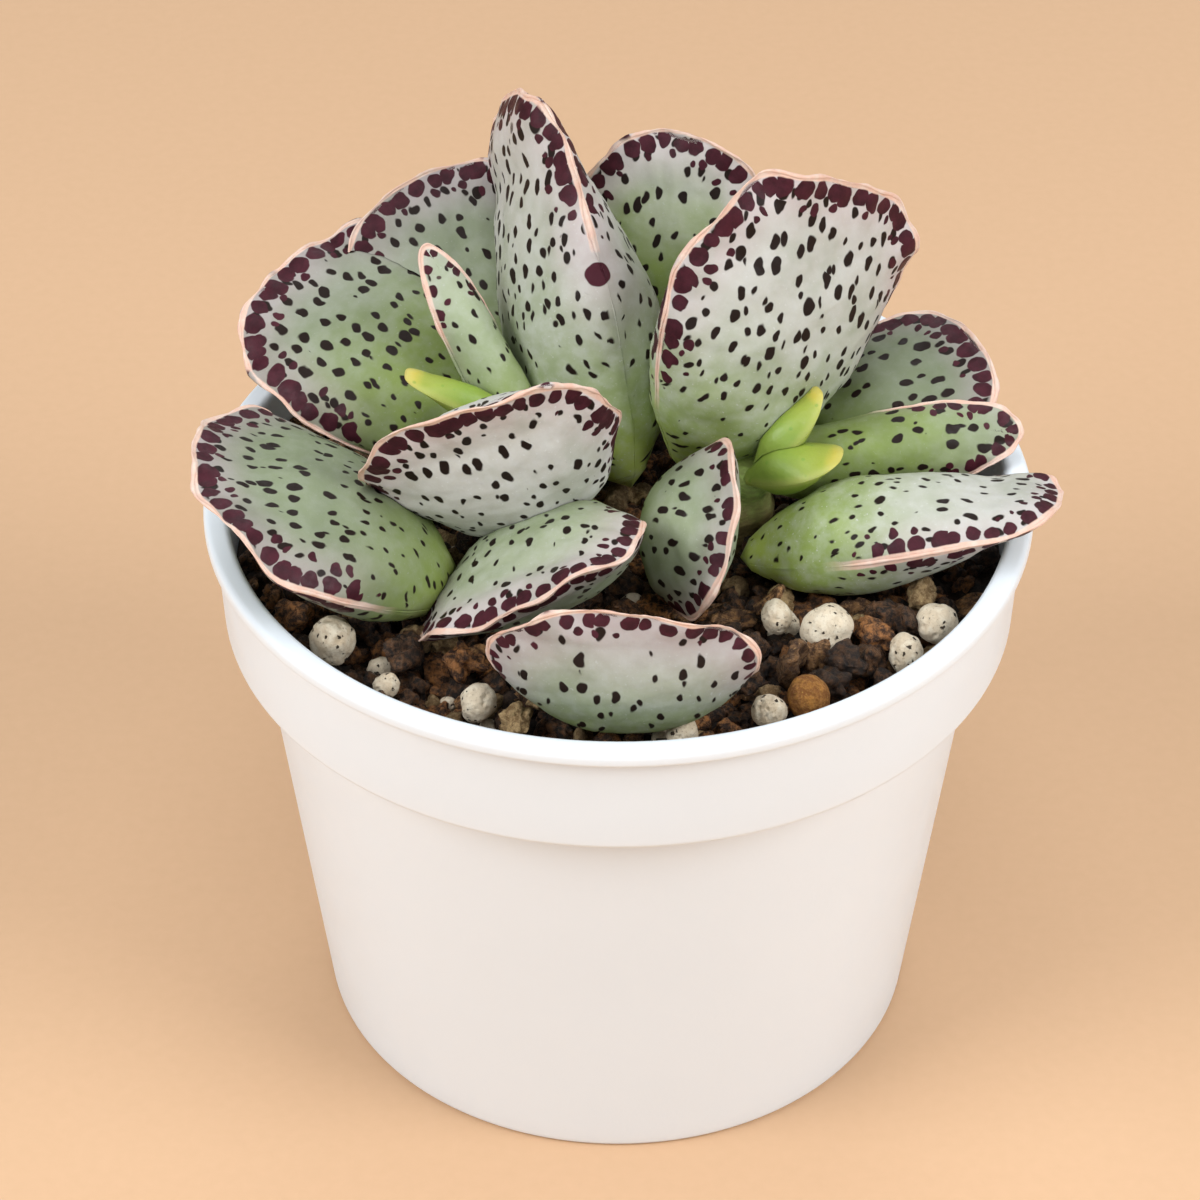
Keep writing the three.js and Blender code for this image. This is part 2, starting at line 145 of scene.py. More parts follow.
# Each leaf: joint, azimuth, elevation, roll; length, half-width, thickness, neck, squareness of
# the tip, then the height, number and phase of the waves in its edge.
LEAVES = table("at az el roll long half thick neck square wave waves phase", {
    "leaf_tall": ((1, 6.7, 68.7), 119, 53, -95, 46.6, 13.9, 14.6, 5.5, 2.6, 0.6, 5, 0.4),
    "leaf_broad": ((8.4, 4.9, 72), 24, 61, 96, 38.6, 16.2, 13.4, 5.5, 2.9, 1.1, 6, 1.1),
    "leaf_left": ((-13.6, 7.2, 70.2), 142, 24, -14, 35.9, 14.2, 9, 4.5, 2.7, 1, 5, 2.6),
    "leaf_back_left": ((-7.9, 18, 66.8), 134, 44, -21, 34.5, 13.7, 9, 4, 2.4, 0.8, 5, 2),
    "leaf_back_middle": ((2.8, 25.2, 67.1), 48, 76, 30, 34.1, 11.6, 9, 4, 2.2, 0.8, 5, 0.2),
    "leaf_small": ((-9.7, 5.5, 71.6), 143, 56, -17, 28.5, 3.4, 7.3, 3.2, 1.8, 0.3, 3, 0.9),
    "leaf_front_high": ((-8.1, 0.8, 69.8), 243, 50, 35, 33.7, 14.9, 11.9, 4.5, 2.3, 0.7, 5, 0.6),
    "leaf_front_low": ((-6.4, -3.2, 67.7), 259, 19, 30, 28.6, 14, 10, 4, 2.6, 0.6, 5, 2.2),
    "leaf_left_low": ((-18.7, -13.6, 66.6), 178, 35, 6, 35, 16.2, 10.7, 4.5, 2, 0.9, 6, 1.7),
    "leaf_middle": ((5.1, -3.6, 68.3), 299, 34, -118, 19, 10.2, 9, 4, 2.3, 0.5, 4, 1.3),
    "leaf_front_bottom": ((0.8, -33.4, 64.7), 267, 74, 0, 20.3, 14.8, 8.8, 5, 2.1, 0.6, 5, 0.1),
    "leaf_right_low": ((15.5, -6.7, 67.1), 355, 17, -13, 36.3, 9.1, 10.4, 5, 2.8, 0.35, 5, 0.8),
    "leaf_right_high": ((17, 3.3, 71.5), 5, 9, 46, 30.3, 4.7, 8, 4, 2.2, 0.7, 5, 2.4),
    "leaf_back_right": ((20.1, 7.8, 67.9), 23, 28, 11, 27.3, 10.4, 8, 3.5, 2.4, 0.5, 4, 1.9),
    "sprout_front": ((15, -1, 74), 345, 25, 0, 12, 3.6, 5, 2.4, 2, 0, 0, 0),
    "sprout_back": ((16, -1.2, 75), 25, 50, 0, 12, 2.8, 3.8, 1.8, 2, 0, 0, 0),
    "sprout_left": ((-12, 4, 78), 177, 27, 0, 14, 2.2, 3.6, 1.7, 2.6, 0, 0, 0),
})
# Where along the leaf its edge turns sharp, and how blunt its tip is
RIDGES = table("ridge blunt", {name: (0.22, 0.0) for name in LEAVES} | {
    "leaf_tall": (0.40, 0.35), "leaf_right_low": (0.30, 0.30), "leaf_front_low": (0.22, 0.20),
})
for leaf_name, leaf_form in LEAVES.items():
    leaf_form.update(RIDGES[leaf_name])


# Meshes

def smoothstep(low, high, value):
    t = np.clip((value - low) / (high - low), 0, 1)
    return t * t * (3 - 2 * t)


def make_object(name, points_mm, faces):
    mesh = bpy.data.meshes.new(name)
    mesh.from_pydata((np.asarray(points_mm) * MM).tolist(), [], faces)
    mesh.validate()
    mesh.update()
    obj = bpy.data.objects.new(name, mesh)
    bpy.context.scene.collection.objects.link(obj)
    return obj


def vectors_of(mesh, key):
    """The vertices' "co" or "normal", a row each."""
    out = np.empty(len(mesh.vertices) * 3, np.float32)
    mesh.vertices.foreach_get(key, out)
    return out.reshape(-1, 3).astype(float)


def points_of(mesh):
    """Vertex positions, in millimetres."""
    return vectors_of(mesh, "co") / MM


def push_out(mesh, lift):
    """Moves the vertices along their normals, by one number or by a number each."""
    points = points_of(mesh) + vectors_of(mesh, "normal") * np.reshape(lift, (-1, 1))
    mesh.vertices.foreach_set("co", (points * MM).astype(np.float32).ravel())
    mesh.update()


def put_attribute(mesh, name, kind, values):
    attribute = mesh.attributes.new(name, kind, "POINT")
    key = "vector" if kind == "FLOAT_VECTOR" else "value"
    attribute.data.foreach_set(key, np.asarray(values, np.float32).ravel())


class Waves:
    """A smooth, seeded, repeatable field made of sine waves in random directions."""

    def __init__(self, seed, count=14):
        rng = np.random.default_rng(seed)
        way = rng.normal(size=(count, 3))
        way /= np.linalg.norm(way, axis=1)[:, None]
        self.way = way * rng.uniform(0.7, 1.5, (count, 1))
        self.start = rng.uniform(0, FULL_TURN, count)
        self.scale = math.sqrt(2 / count)

    def __call__(self, points, size):
        turns = points @ self.way.T * (FULL_TURN / size)
        return np.sin(turns + self.start).sum(axis=1) * self.scale

    def layers(self, points, rows):
        """The sum of layers, each of a strength, the size of its waves and a shift."""
        return sum(strength * self(points + shift, size) for strength, size, shift in rows)


def smooth_with_creases(obj, degrees):
    mesh = obj.data
    mesh.polygons.foreach_set("use_smooth", np.ones(len(mesh.polygons), bool))
    mesh.set_sharp_from_angle(angle=math.radians(degrees))
    mesh.update()


def cut(obj, cutter):
    """Takes cutter away from obj, for good."""
    modifier = obj.modifiers.new("cut", "BOOLEAN")
    modifier.operation = "DIFFERENCE"
    modifier.solver = "MANIFOLD"
    modifier.object = cutter
    graph = bpy.context.evaluated_depsgraph_get()
    result = bpy.data.meshes.new_from_object(obj.evaluated_get(graph))
    obj.modifiers.clear()
    old = obj.data
    obj.data = result
    bpy.data.meshes.remove(old)


def keep_largest(obj):
    """Deletes the scraps that a cut can leave beside the piece itself."""
    bm = bmesh.new()
    bm.from_mesh(obj.data)
    seen = set()
    groups = []
    for start in bm.verts:
        group = []
        stack = [start]
        while stack:
            here = stack.pop()
            if here not in seen:
                seen.add(here)
                group.append(here)
                stack += [edge.other_vert(here) for edge in here.link_edges]
        if group:
            groups.append(group)
    groups.sort(key=len)
    for group in groups[:-1]:
        bmesh.ops.delete(bm, geom=group, context="VERTS")
    bm.to_mesh(obj.data)
    bm.free()


def join_pieces(name, pieces):
    """One object from a list of (points, faces, tint) in millimetres; tint is kept per point."""
    faces = []
    start = 0
    for points, piece_faces, _ in pieces:
        faces.extend(tuple(start + i for i in face) for face in piece_faces)
        start += len(points)
    obj = make_object(name, np.concatenate([points for points, _, _ in pieces]), faces)
    tints = [np.full(len(points), tint) for points, _, tint in pieces]
    put_attribute(obj.data, "tint", "FLOAT", np.concatenate(tints))
    return obj


def lathe(profile, sides):
    """Points and faces of a profile of (radius, height) turned about Z."""
    points = []
    rows = []
    for r, z in profile:
        if r < TINY:
            rows.append([len(points)] * sides)
            points.append((0.0, 0.0, z))
            continue
        rows.append(list(range(len(points), len(points) + sides)))
        for k in range(sides):
            turn = FULL_TURN * k / sides
            points.append((r * math.cos(turn), r * math.sin(turn), z))
    faces = []
    for low, high in zip(rows, rows[1:]):
        for k in range(sides):
            n = (k + 1) % sides
            face = tuple(dict.fromkeys([low[k], low[n], high[n], high[k]]))
            if len(face) > 2:
                faces.append(face)
    return np.array(points), faces


# Leaf form

def root_share(y):
    grown = np.sin(math.pi / 2 * np.clip(y / ROOT_LENGTH, 0, 1))
    return ROOT_SHARE + (1 - ROOT_SHARE) * grown


def half_width(leaf, y):
    t = np.clip(y / (leaf["long"] * SHOULDER), 0, 1)
    flare = np.sin(math.pi / 2 * t ** FLARE_POWER)
    return (leaf["neck"] + (leaf["half"] - leaf["neck"]) * flare) * root_share(y)


def bulge(leaf, y, r):
    """Height of a face over the middle plane, y along the leaf and a share r out to the edge."""
    y = np.maximum(y, 0)
    t = y / leaf["long"]
    belly = np.sin(math.pi * np.minimum(1, t / (2 * BELLY["place"])))
    along = BELLY["neck"] + BELLY["added"] * belly - BELLY["thinned"] * t * t
    along = along + leaf["blunt"] * smoothstep(*BLUNT_STRETCH, t)
    edge = np.minimum(smoothstep(leaf["ridge"], SHARP_FROM_HERE, t), t / SHOULDER)
    slim = np.minimum(1, NECK_SLIM["share"] + NECK_SLIM["growth"] * t) * root_share(y)
    section = np.maximum(0, 1 - r * r) ** (SECTION["neck"] + SECTION["added"] * edge)
    return leaf["thick"] / 2 * along * slim * section


def leaf_matrix(leaf):
    """Leaf frame to pot frame: rows are across, along and up, then the joint's place."""
    az, el, roll = (math.radians(leaf[key]) for key in ("az", "el", "roll"))
    along = Vector((math.cos(el) * math.cos(az), math.cos(el) * math.sin(az), math.sin(el)))
    up = Vector((-math.sin(el) * math.cos(az), -math.sin(el) * math.sin(az), math.cos(el)))
    up = Matrix.Rotation(roll, 3, along) @ up
    across = along.cross(up)
    return np.array([across[:], along[:], up[:]]), np.array(leaf["at"], float)


def tip_curve(leaf, angle):
    """The blunt tip's edge: part of a superellipse round the shoulder."""
    shoulder = leaf["long"] * SHOULDER
    power = 2 / leaf["square"]
    x = leaf["half"] * np.sign(np.cos(angle)) * np.abs(np.cos(angle)) ** power
    return x, shoulder + (leaf["long"] - shoulder) * np.abs(np.sin(angle)) ** power


def leaf_outline(leaf):
    """Spokes from the spine to the edge: index of the spine point, spine y, edge x and y, and
    the share of the way round."""
    shoulder = leaf["long"] * SHOULDER
    steps = np.arange(SIDE_SPOKES)
    y = shoulder * steps / SIDE_SPOKES
    x = half_width(leaf, y)
    angle = np.linspace(0, math.pi, TIP_SAMPLES + 1)
    tip_x, tip_y = tip_curve(leaf, angle)
    length = np.concatenate([[0], np.cumsum(np.hypot(np.diff(tip_x), np.diff(tip_y)))])
    angle = np.interp(np.linspace(0, length[-1], TIP_SPOKES + 1), length, angle)
    tip_x, tip_y = tip_curve(leaf, angle)
    spine = np.concatenate([steps, np.full(TIP_SPOKES + 1, SIDE_SPOKES), steps[::-1]])
    edge_x = np.concatenate([x, tip_x, -x[::-1]])
    edge_y = np.concatenate([y, tip_y, y[::-1]])
    side = 0.25 * steps / SIDE_SPOKES
    share = np.concatenate([side, 0.25 + 0.5 * angle / math.pi, 1 - side[::-1]])
    return spine, shoulder * spine / SIDE_SPOKES, edge_x, edge_y, share


def bead_share(leaf, edge_y):
    """Where the horny edge is grown out: the outer part of the leaf."""
    if leaf["waves"] == 0:
        return np.zeros_like(edge_y)
    return smoothstep(leaf["ridge"], leaf["ridge"] + BEAD_GROWTH, edge_y / leaf["long"])


def edge_form(leaf, seed, edge_x, edge_y, share):
    """Height of the edge's waves, depth of its scallops and radius of its bead, at each spoke."""
    ripple = Waves(seed, 8)
    line = np.stack([edge_x, edge_y, np.zeros(len(share))], axis=1)
    distal = np.sin(math.pi * share) ** 2
    off_tip = 1 - np.exp(-((share - 0.5) / TIP_CALM) ** 2)
    wave = np.sin(FULL_TURN * leaf["waves"] * share + leaf["phase"])
    wave = leaf["wave"] * distal * wave * (TIP_WAVE + (1 - TIP_WAVE) * off_tip)
    wave = wave + WOBBLE["share"] * distal * leaf["wave"] * ripple(line, WOBBLE["size"])
    crimp = EDGE_CRIMP * np.cos(2 * FULL_TURN * leaf["waves"] * share)
    crimp = crimp + SCALLOPS["depth"] * ripple(line + SCALLOPS["shift"], SCALLOPS["size"])
    uneven = ripple(line + BEAD_VARIES["shift"], BEAD_VARIES["size"])
    uneven = 1 + BEAD_VARIES["share"] * uneven
    bead = BEAD_RADIUS * bead_share(leaf, edge_y) * uneven + BEAD_LEAST
    return wave, crimp * distal * off_tip, bead


def leaf_mesh(leaf, seed):
    """Points and faces in the leaf's own frame, and its edge line."""
    spine, spine_y, edge_x, edge_y, share = leaf_outline(leaf)
    wave, crimp, bead = edge_form(leaf, seed, edge_x, edge_y, share)
    reach = np.hypot(edge_x, edge_y - spine_y)
    beaded = bead_share(leaf, edge_y)
    even = np.arange(1, RINGS + 1) / RINGS
    points = []
    for side in (1, -1):
        for i in range(SIDE_SPOKES + 1):
            y = leaf["long"] * SHOULDER * i / SIDE_SPOKES
            points.append((0.0, y, side * float(bulge(leaf, y, 0))))

    def put(spoke_y, flat, height):
        points.append((flat[0], spoke_y + flat[1], height))

    for i, start in enumerate(spine_y):
        spoke = np.array([edge_x[i], edge_y[i] - start])
        out = spoke / reach[i]
        crowding = RING_CROWDING - BEAD_EASING * beaded[i]
        r = (1 - crowding) * even + crowding * np.sin(math.pi / 2 * even)
        r = r * (1 - bead[i] / reach[i])
        blend = smoothstep(WAVE_START, 1.0, r)
        groove = GROOVE_DEPTH * np.exp(-(reach[i] * (1 - r) / GROOVE_WIDTH) ** 2)
        height = bulge(leaf, start + spoke[1] * r, r) * (1 - beaded[i] * groove)
        stretch = r * (1 + crimp[i] * blend)
        rim = spoke * (1 + crimp[i])
        for side in (1, -1):
            for far, middle, rise in zip(stretch, wave[i] * blend, side * height):
                put(start, spoke * far, middle + rise)
            for angle in BEAD_ANGLES:
                rise = side * bead[i] * math.sin(angle)
                put(start, rim - out * bead[i] * math.cos(angle), wave[i] + rise)
        put(start, rim + out * bead[i], wave[i])

    last = RINGS + len(BEAD_ANGLES)
    first = 2 * (SIDE_SPOKES + 1)

    def corner(side, i, j):
        """Point j of spoke i on one side; -1 is on the spine and last on the edge."""
        low = side < 0
        if j < 0:
            return low * (SIDE_SPOKES + 1) + int(spine[i])
        start = first + i * (2 * last + 1)
        return start + 2 * last if j == last else start + low * last + j

    end = len(spine) - 1
    faces = []
    for side in (1, -1):
        for i in range(end):
            for j in range(-1, last):
                quad = [corner(side, i, j), corner(side, i, j + 1),
                        corner(side, i + 1, j + 1), corner(side, i + 1, j)]
                quad = tuple(dict.fromkeys(quad))
                faces.append(quad if side > 0 else quad[::-1])
    joint = []
    for side, i, other in ((1, 0, end), (-1, end, 0)):
        joint += [corner(side, i, j) for j in range(last, -2, -1)]
        joint += [corner(side, other, j) for j in range(last)]
    hub = len(points)
    points.append((0.0, -JOINT_CONE * leaf["neck"], 0.0))
    faces += [(hub, a, b) for a, b in zip(joint, joint[1:] + joint[:1])]
    return np.array(points), faces, np.stack([edge_x, edge_y, wave, reach], axis=1)


def leaf_object(name, leaf, seed):
    points, faces, line = leaf_mesh(leaf, seed)
    basis, at = leaf_matrix(leaf)
    obj = make_object(name, points @ basis + at, faces)
    lift = Waves(seed + RELIEF_SEED).layers(points_of(obj.data), SKIN_RELIEF)
    full = smoothstep(0, RELIEF_FULL, leaf["half"])
    push_out(obj.data, lift * (RELIEF_LEAST + (1 - RELIEF_LEAST) * full))
    return obj, line


def tree_of(obj):
    return BVHTree.FromObject(obj, bpy.context.evaluated_depsgraph_get())


def grown_copy(obj, clearance):
    copy = bpy.data.objects.new(obj.name + "_cutter", obj.data.copy())
    bpy.context.scene.collection.objects.link(copy)
    push_out(copy.data, clearance)
    return copy


# The skin's coordinates

FACE_APART = 61.7  # keeps the patterns of a leaf's two faces different
GIRTH_STEPS = 80
NARROWEST = 0.2
LINE_FINENESS = 5
BATCH = 3000


def girth(leaf, x, y):
    """Distance over the skin from the spine, in millimetres, of a point above (x, y)."""
    rows = np.linspace(0, leaf["long"], GIRTH_STEPS + 1)
    shares = np.linspace(0, 1, GIRTH_STEPS + 1)
    past = np.clip((rows / leaf["long"] - SHOULDER) / (1 - SHOULDER), 0, 1)
    tip = leaf["half"] * (1 - past ** leaf["square"]) ** (1 / leaf["square"])
    wide = np.maximum(np.where(past > 0, tip, half_width(leaf, rows)), NARROWEST)
    side = wide[:, None] * shares
    height = bulge(leaf, rows[:, None], shares[None, :]) * (wide / wide.max())[:, None]
    steps = np.hypot(np.diff(side, axis=1), np.diff(height, axis=1))
    over = np.concatenate([np.zeros((len(rows), 1)), np.cumsum(steps, axis=1)], axis=1)
    row = np.clip(y / leaf["long"], 0, 1) * GIRTH_STEPS
    low = np.minimum(row.astype(int), GIRTH_STEPS - 1)
    row_part = row - low
    width = wide[low] * (1 - row_part) + wide[low + 1] * row_part
    column = np.clip(np.abs(x) / width, 0, 1) * GIRTH_STEPS
    near = np.minimum(column.astype(int), GIRTH_STEPS - 1)
    part = column - near
    here, beyond = (over[r, near] * (1 - part) + over[r, near + 1] * part for r in (low, low + 1))
    return np.sign(x) * (here * (1 - row_part) + beyond * row_part)


def add_leaf_attributes(obj, leaf, line):
    """Coordinates for the skin's pattern: place in the leaf; distance over the skin from the
    spine and along the leaf; how far along the edge and in from it, with the face."""
    mesh = obj.data
    basis, at = leaf_matrix(leaf)
    local = (points_of(mesh) - at) @ basis.T
    spokes = np.arange(len(line))
    fine = np.linspace(0, len(line) - 1, LINE_FINENESS * len(line))
    line = np.stack([np.interp(fine, spokes, column) for column in line.T], axis=1)
    steps = np.linalg.norm(np.diff(line[:, :3], axis=0), axis=1)
    run = np.concatenate([[0], np.cumsum(steps)])
    nearest = []
    inset = []
    for start in range(0, len(local), BATCH):
        part = local[start:start + BATCH]
        gap = np.linalg.norm(part[:, None, :] - line[None, :, :3], axis=2)
        nearest.append(gap.argmin(axis=1))
        inset.append(gap.min(axis=1))
    nearest = np.concatenate(nearest)
    inset = np.concatenate(inset)
    close = line[nearest]
    flat = np.hypot(local[:, 0] - close[:, 0], local[:, 1] - close[:, 1])
    middle = close[:, 2] * smoothstep(WAVE_START, 1.0, 1 - flat / close[:, 3])
    face = np.where(local[:, 2] >= middle, 1.0, -1.0)
    over = girth(leaf, local[:, 0], local[:, 1])
    for name, rows in (("leaf_mm", local),
                       ("skin_mm", np.stack([over, local[:, 1], FACE_APART * face], axis=1)),
                       ("rim", np.stack([run[nearest], inset, face], axis=1))):
        put_attribute(mesh, name, "FLOAT_VECTOR", rows)


# Node graphs

class Graph:
    """Builds a material's nodes; a value may be a socket, a number or a colour. The scale of a
    pattern is in cells per millimetre."""

    def __init__(self, name):
        self.material = bpy.data.materials.new(name)
        self.material.use_nodes = True
        self.tree = self.material.node_tree
        self.shader = self.tree.nodes["Principled BSDF"]

    def plug(self, socket, value):
        if isinstance(value, bpy.types.NodeSocket):
            self.tree.links.new(value, socket)
        elif isinstance(value, (tuple, list)) and len(value) == 3 and socket.type == "RGBA":
            socket.default_value = (*value, 1)
        else:
            socket.default_value = value

    def node(self, kind, settings=None, **inputs):
        node = self.tree.nodes.new("ShaderNode" + kind)
        for key, value in (settings or {}).items():
            setattr(node, key, value)
        for key, value in inputs.items():
            self.plug(node.inputs[key.replace("_", " ")], value)
        return node

    def math(self, operation, a, b=0.0):
        node = self.node("Math", {"operation": operation})
        self.plug(node.inputs[0], a)
        self.plug(node.inputs[1], b)
        return node.outputs[0]

    def add(self, a, b):
        return self.math("ADD", a, b)

    def less(self, a, b):
        return self.math("SUBTRACT", a, b)

    def times(self, a, b):
        return self.math("MULTIPLY", a, b)

    def most(self, a, b):
        return self.math("MAXIMUM", a, b)

    def swing(self, value, reach):
        """Turns a value of 0 to 1 into a shift of -reach / 2 to reach / 2."""
        return self.times(self.less(value, 0.5), reach)

    def vector(self, operation, a, b):
        node = self.node("VectorMath", {"operation": operation})
        self.plug(node.inputs[0], a)
        self.plug(node.inputs[1], b)
        return node.outputs[0]

    def scaled(self, a, scale):
        return self.node("VectorMath", {"operation": "SCALE"}, Vector=a, Scale=scale).outputs[0]

    def length(self, a):
        return self.node("VectorMath", {"operation": "LENGTH"}, Vector=a).outputs["Value"]

    def remap(self, value, low, high, to_low=0.0, to_high=1.0, kind="SMOOTHSTEP"):
        node = self.node("MapRange", {"interpolation_type": kind}, Value=value, From_Min=low,
                         From_Max=high, To_Min=to_low, To_Max=to_high)
        return node.outputs[0]

    def mix(self, factor, a, b):
        node = self.node("Mix", {"data_type": "RGBA"})
        self.plug(node.inputs[0], factor)
        self.plug(node.inputs[6], a)
        self.plug(node.inputs[7], b)
        return node.outputs[2]

    def ramp(self, value, *stops):
        node = self.node("ValToRGB", Fac=value)
        elements = node.color_ramp.elements
        while len(elements) < len(stops):
            elements.new(0.5)
        for element, (place, colour) in zip(elements, stops):
            element.position = place
            element.color = (*colour, 1)
        return node.outputs[0]

    def noise(self, vector, scale, detail=2.0, rough=0.5, output=0):
        return self.node("TexNoise", Vector=vector, Scale=scale, Detail=detail,
                         Roughness=rough).outputs[output]

    def place_mm(self):
        return self.scaled(self.node("TexCoord").outputs["Object"], 1 / MM)

    def attribute(self, name, output="Vector"):
        return self.node("Attribute", {"attribute_name": name}).outputs[output]

    def split(self, vector):
        return self.node("SeparateXYZ", Vector=vector).outputs

    def split_colour(self, colour):
        return self.node("SeparateColor", Color=colour).outputs

    def bump(self, height, strength, distance):
        return self.node("Bump", Height=height, Strength=strength, Distance=distance).outputs[0]

    def finish(self, **inputs):
        for key, value in inputs.items():
            self.plug(self.shader.inputs[key.replace("_", " ")], value)
        return self.material


# Leaf skin. Colours are linear.
DARK_SPOT = (0.014, 0.007, 0.005)
BLOTCH = (0.064, 0.012, 0.020)
BLOTCH_DEEP = (0.034, 0.007, 0.011)
HORN = (0.72, 0.46, 0.36)
HORN_PALE = (0.74, 0.57, 0.48)
LILAC = (0.54, 0.45, 0.45)
TIP_PALE = (0.50, 0.485, 0.44)
MINT = (0.33, 0.38, 0.23)
LUSH = (0.27, 0.35, 0.09)
LUSH_ROOT = (0.48, 0.56, 0.12)
MEALY = (0.62, 0.62, 0.60)
SHADY_GREEN = (0.18, 0.22, 0.12)

# How each leaf differs: how far the pale tip and the lush green reach (shares of the length),
# the share of places that have a spot, the spots' size, the blotches' size, where along the leaf
# the horny edge and the blotches begin, how mealy the skin is, how light, and the horny edge's
# width in millimetres. How light is partly the leaf's own tone and partly painted shade and
# light: leaves that sit in shade are painted darker, brightly lit ones lighter.
LOOKS = table("pale lush spots size blotch edge meal tone horn", {
    "leaf_tall": (0.48, 0.14, 1.00, 0.92, 1.10, 0.58, 0.5, 0.97, 0.58),
    "leaf_broad": (0.40, 0.24, 1.00, 0.95, 1.08, 0.22, 0.5, 0.99, 0.50),
    "leaf_back_left": (0.80, 0.30, 0.90, 0.80, 1.00, 0.30, 0.1, 0.74, 0.32),
    "leaf_back_middle": (0.75, 0.68, 0.85, 0.85, 0.95, 0.30, 0.1, 1.02, 0.36),
    "leaf_left": (0.85, 0.50, 0.95, 1.00, 1.10, 0.30, 0.1, 0.70, 0.38),
    "leaf_small": (0.90, 0.35, 0.75, 0.70, 0.60, 0.62, 0.1, 0.98, 0.52),
    "leaf_front_high": (0.02, 0.00, 0.92, 0.80, 1.05, 0.20, 0.9, 1.12, 0.50),
    "leaf_front_low": (0.80, 0.15, 0.90, 0.80, 0.95, 0.30, 0.2, 0.94, 0.58),
    "leaf_left_low": (1.00, 0.25, 1.00, 0.85, 1.05, 0.30, 0.0, 0.68, 0.50),
    "leaf_middle": (0.90, 0.20, 1.00, 0.85, 0.85, 0.30, 0.1, 0.88, 0.56),
    "leaf_front_bottom": (0.60, 0.25, 0.60, 0.85, 0.80, 0.40, 0.5, 0.78, 0.42),
    "leaf_right_low": (0.50, 0.36, 0.90, 0.70, 0.90, 0.34, 0.6, 1.00, 0.56),
    "leaf_right_high": (1.10, 0.62, 0.85, 0.95, 0.80, 0.50, 0.0, 0.80, 0.50),
    "leaf_back_right": (1.00, 0.35, 0.80, 1.00, 1.10, 0.30, 0.0, 0.60, 0.46),
})
# One large round spot stands alone where the tall leaf's horny edge ends
LONE_SPOT = {"leaf_tall": dict(place=(13.3, 23.4, 0.8), radius=1.45, clear=(-1.4, -0.9))}

# Free spots lie one in each cell of a grid over the skin; dashes are most common near the root.
# Least and most are radii in cells; common and growth say how the share of cells with a mark
# and its size change along the leaf, as the values of a remap.
SPOTS = dict(scale=0.46, stretch=0.70, least=0.17, most=0.30, soft=0.035,
             common=(0.02, 0.55, 0.45, 1.0), growth=(0.0, 0.75, 0.52, 1.08))
DASHES = dict(scale=0.55, stretch=0.50, least=0.10, most=0.20, soft=0.045, odds=0.55,
              common=(0.75, 0.35, 0.25, 1.0))
SPOT_WOBBLE = 1.1
SPOT_INSET = (0.55, 0.9)  # millimetres from the edge over which the free spots begin
# Rows of blotches along the edge: one that touches, one scattered inside it. Spacing, depth and
# radius are in millimetres.
BLOTCH_ROWS = (
    dict(spacing=2.3, depth=1.45, spread=0.3, least=0.95, most=1.35, odds=1.05, shift=0.0),
    dict(spacing=2.6, depth=3.4, spread=1.0, least=0.35, most=0.75, odds=0.5, shift=11.0),
)
BLOTCH_WOBBLE = 1.3
BLOTCH_SOFT = 0.07
HORN_WOBBLE = 0.35
PATTERN_SHIFT = np.array([17.3, 5.1, 9.7])  # keeps the patterns of two leaves different
WIDE_LEAF = 13  # half-width from which a leaf has the full lilac margin
SKIN_BUMP = 0.00012


def leaf_ground(g, place, inset, t, leaf, look):
    """The skin's colour under its marks, and the mottling that varies it."""
    cloud = g.noise(place, 0.14, 3.0)
    mottle = g.noise(place, 0.55, 4.0, 0.6)
    height = g.add(t, g.swing(cloud, 0.35))
    ground = g.mix(g.remap(height, look["lush"] - 0.15, look["lush"] + 0.30), LUSH, MINT)
    ground = g.mix(g.remap(height, -0.05, 0.16 + 0.2 * look["lush"]), LUSH_ROOT, ground)
    ground = g.mix(g.remap(height, look["pale"] - 0.30, look["pale"] + 0.40), ground, TIP_PALE)
    broad = min(1.0, leaf["half"] / WIDE_LEAF)
    margin = g.remap(inset, broad, 8.0 * broad, 0.8 * broad, 0.0)
    ground = g.mix(g.times(margin, g.remap(t, 0.25, 0.6)), ground, LILAC)
    ground = g.mix(g.remap(mottle, 0.35, 0.75, 0.0, 0.15 + 0.3 * look["meal"]), ground, MEALY)
    ground = g.mix(g.remap(cloud, 0.55, 0.3, 0.0, 0.30), ground, SHADY_GREEN)
    specks = g.remap(g.noise(place, 2.6, 2.0), 0.66, 0.74, 0.0, 0.15 + 0.5 * look["meal"])
    # The look's lightness factor is partly painted shade and light: leaves that sit in shade are
    # darker, brightly lit ones lighter; the rest is the leaf's own tone.
    return g.scaled(g.mix(specks, ground, MEALY), look["tone"]), mottle


def free_marks(g, skin, wobble, t, shift, size, marks):
    """Ovals of one kind, spots or dashes."""
    warped = g.vector("ADD", skin, g.scaled(wobble, SPOT_WOBBLE))
    cells = g.vector("MULTIPLY", warped, (1.0, marks["stretch"], 1.0))
    voronoi = g.node("TexVoronoi", {"voronoi_dimensions": "2D"}, Scale=marks["scale"],
                     Vector=g.vector("ADD", cells, shift), Randomness=0.82)
    pick = g.split_colour(voronoi.outputs["Color"])
    want = g.times(g.remap(t, *marks["common"]), marks["odds"])
    there = g.remap(g.less(want, pick[0]), -0.02, 0.06)
    radius = g.remap(pick[1], 0.0, 1.0, marks["least"] * size, marks["most"] * size, "LINEAR")
    radius = g.times(radius, there)
    if "growth" in marks:
        radius = g.times(radius, g.remap(t, *marks["growth"]))
    mark = g.remap(g.less(radius, voronoi.outputs["Distance"]), -marks["soft"], marks["soft"])
    return g.times(mark, g.remap(there, 0.0, 0.3))


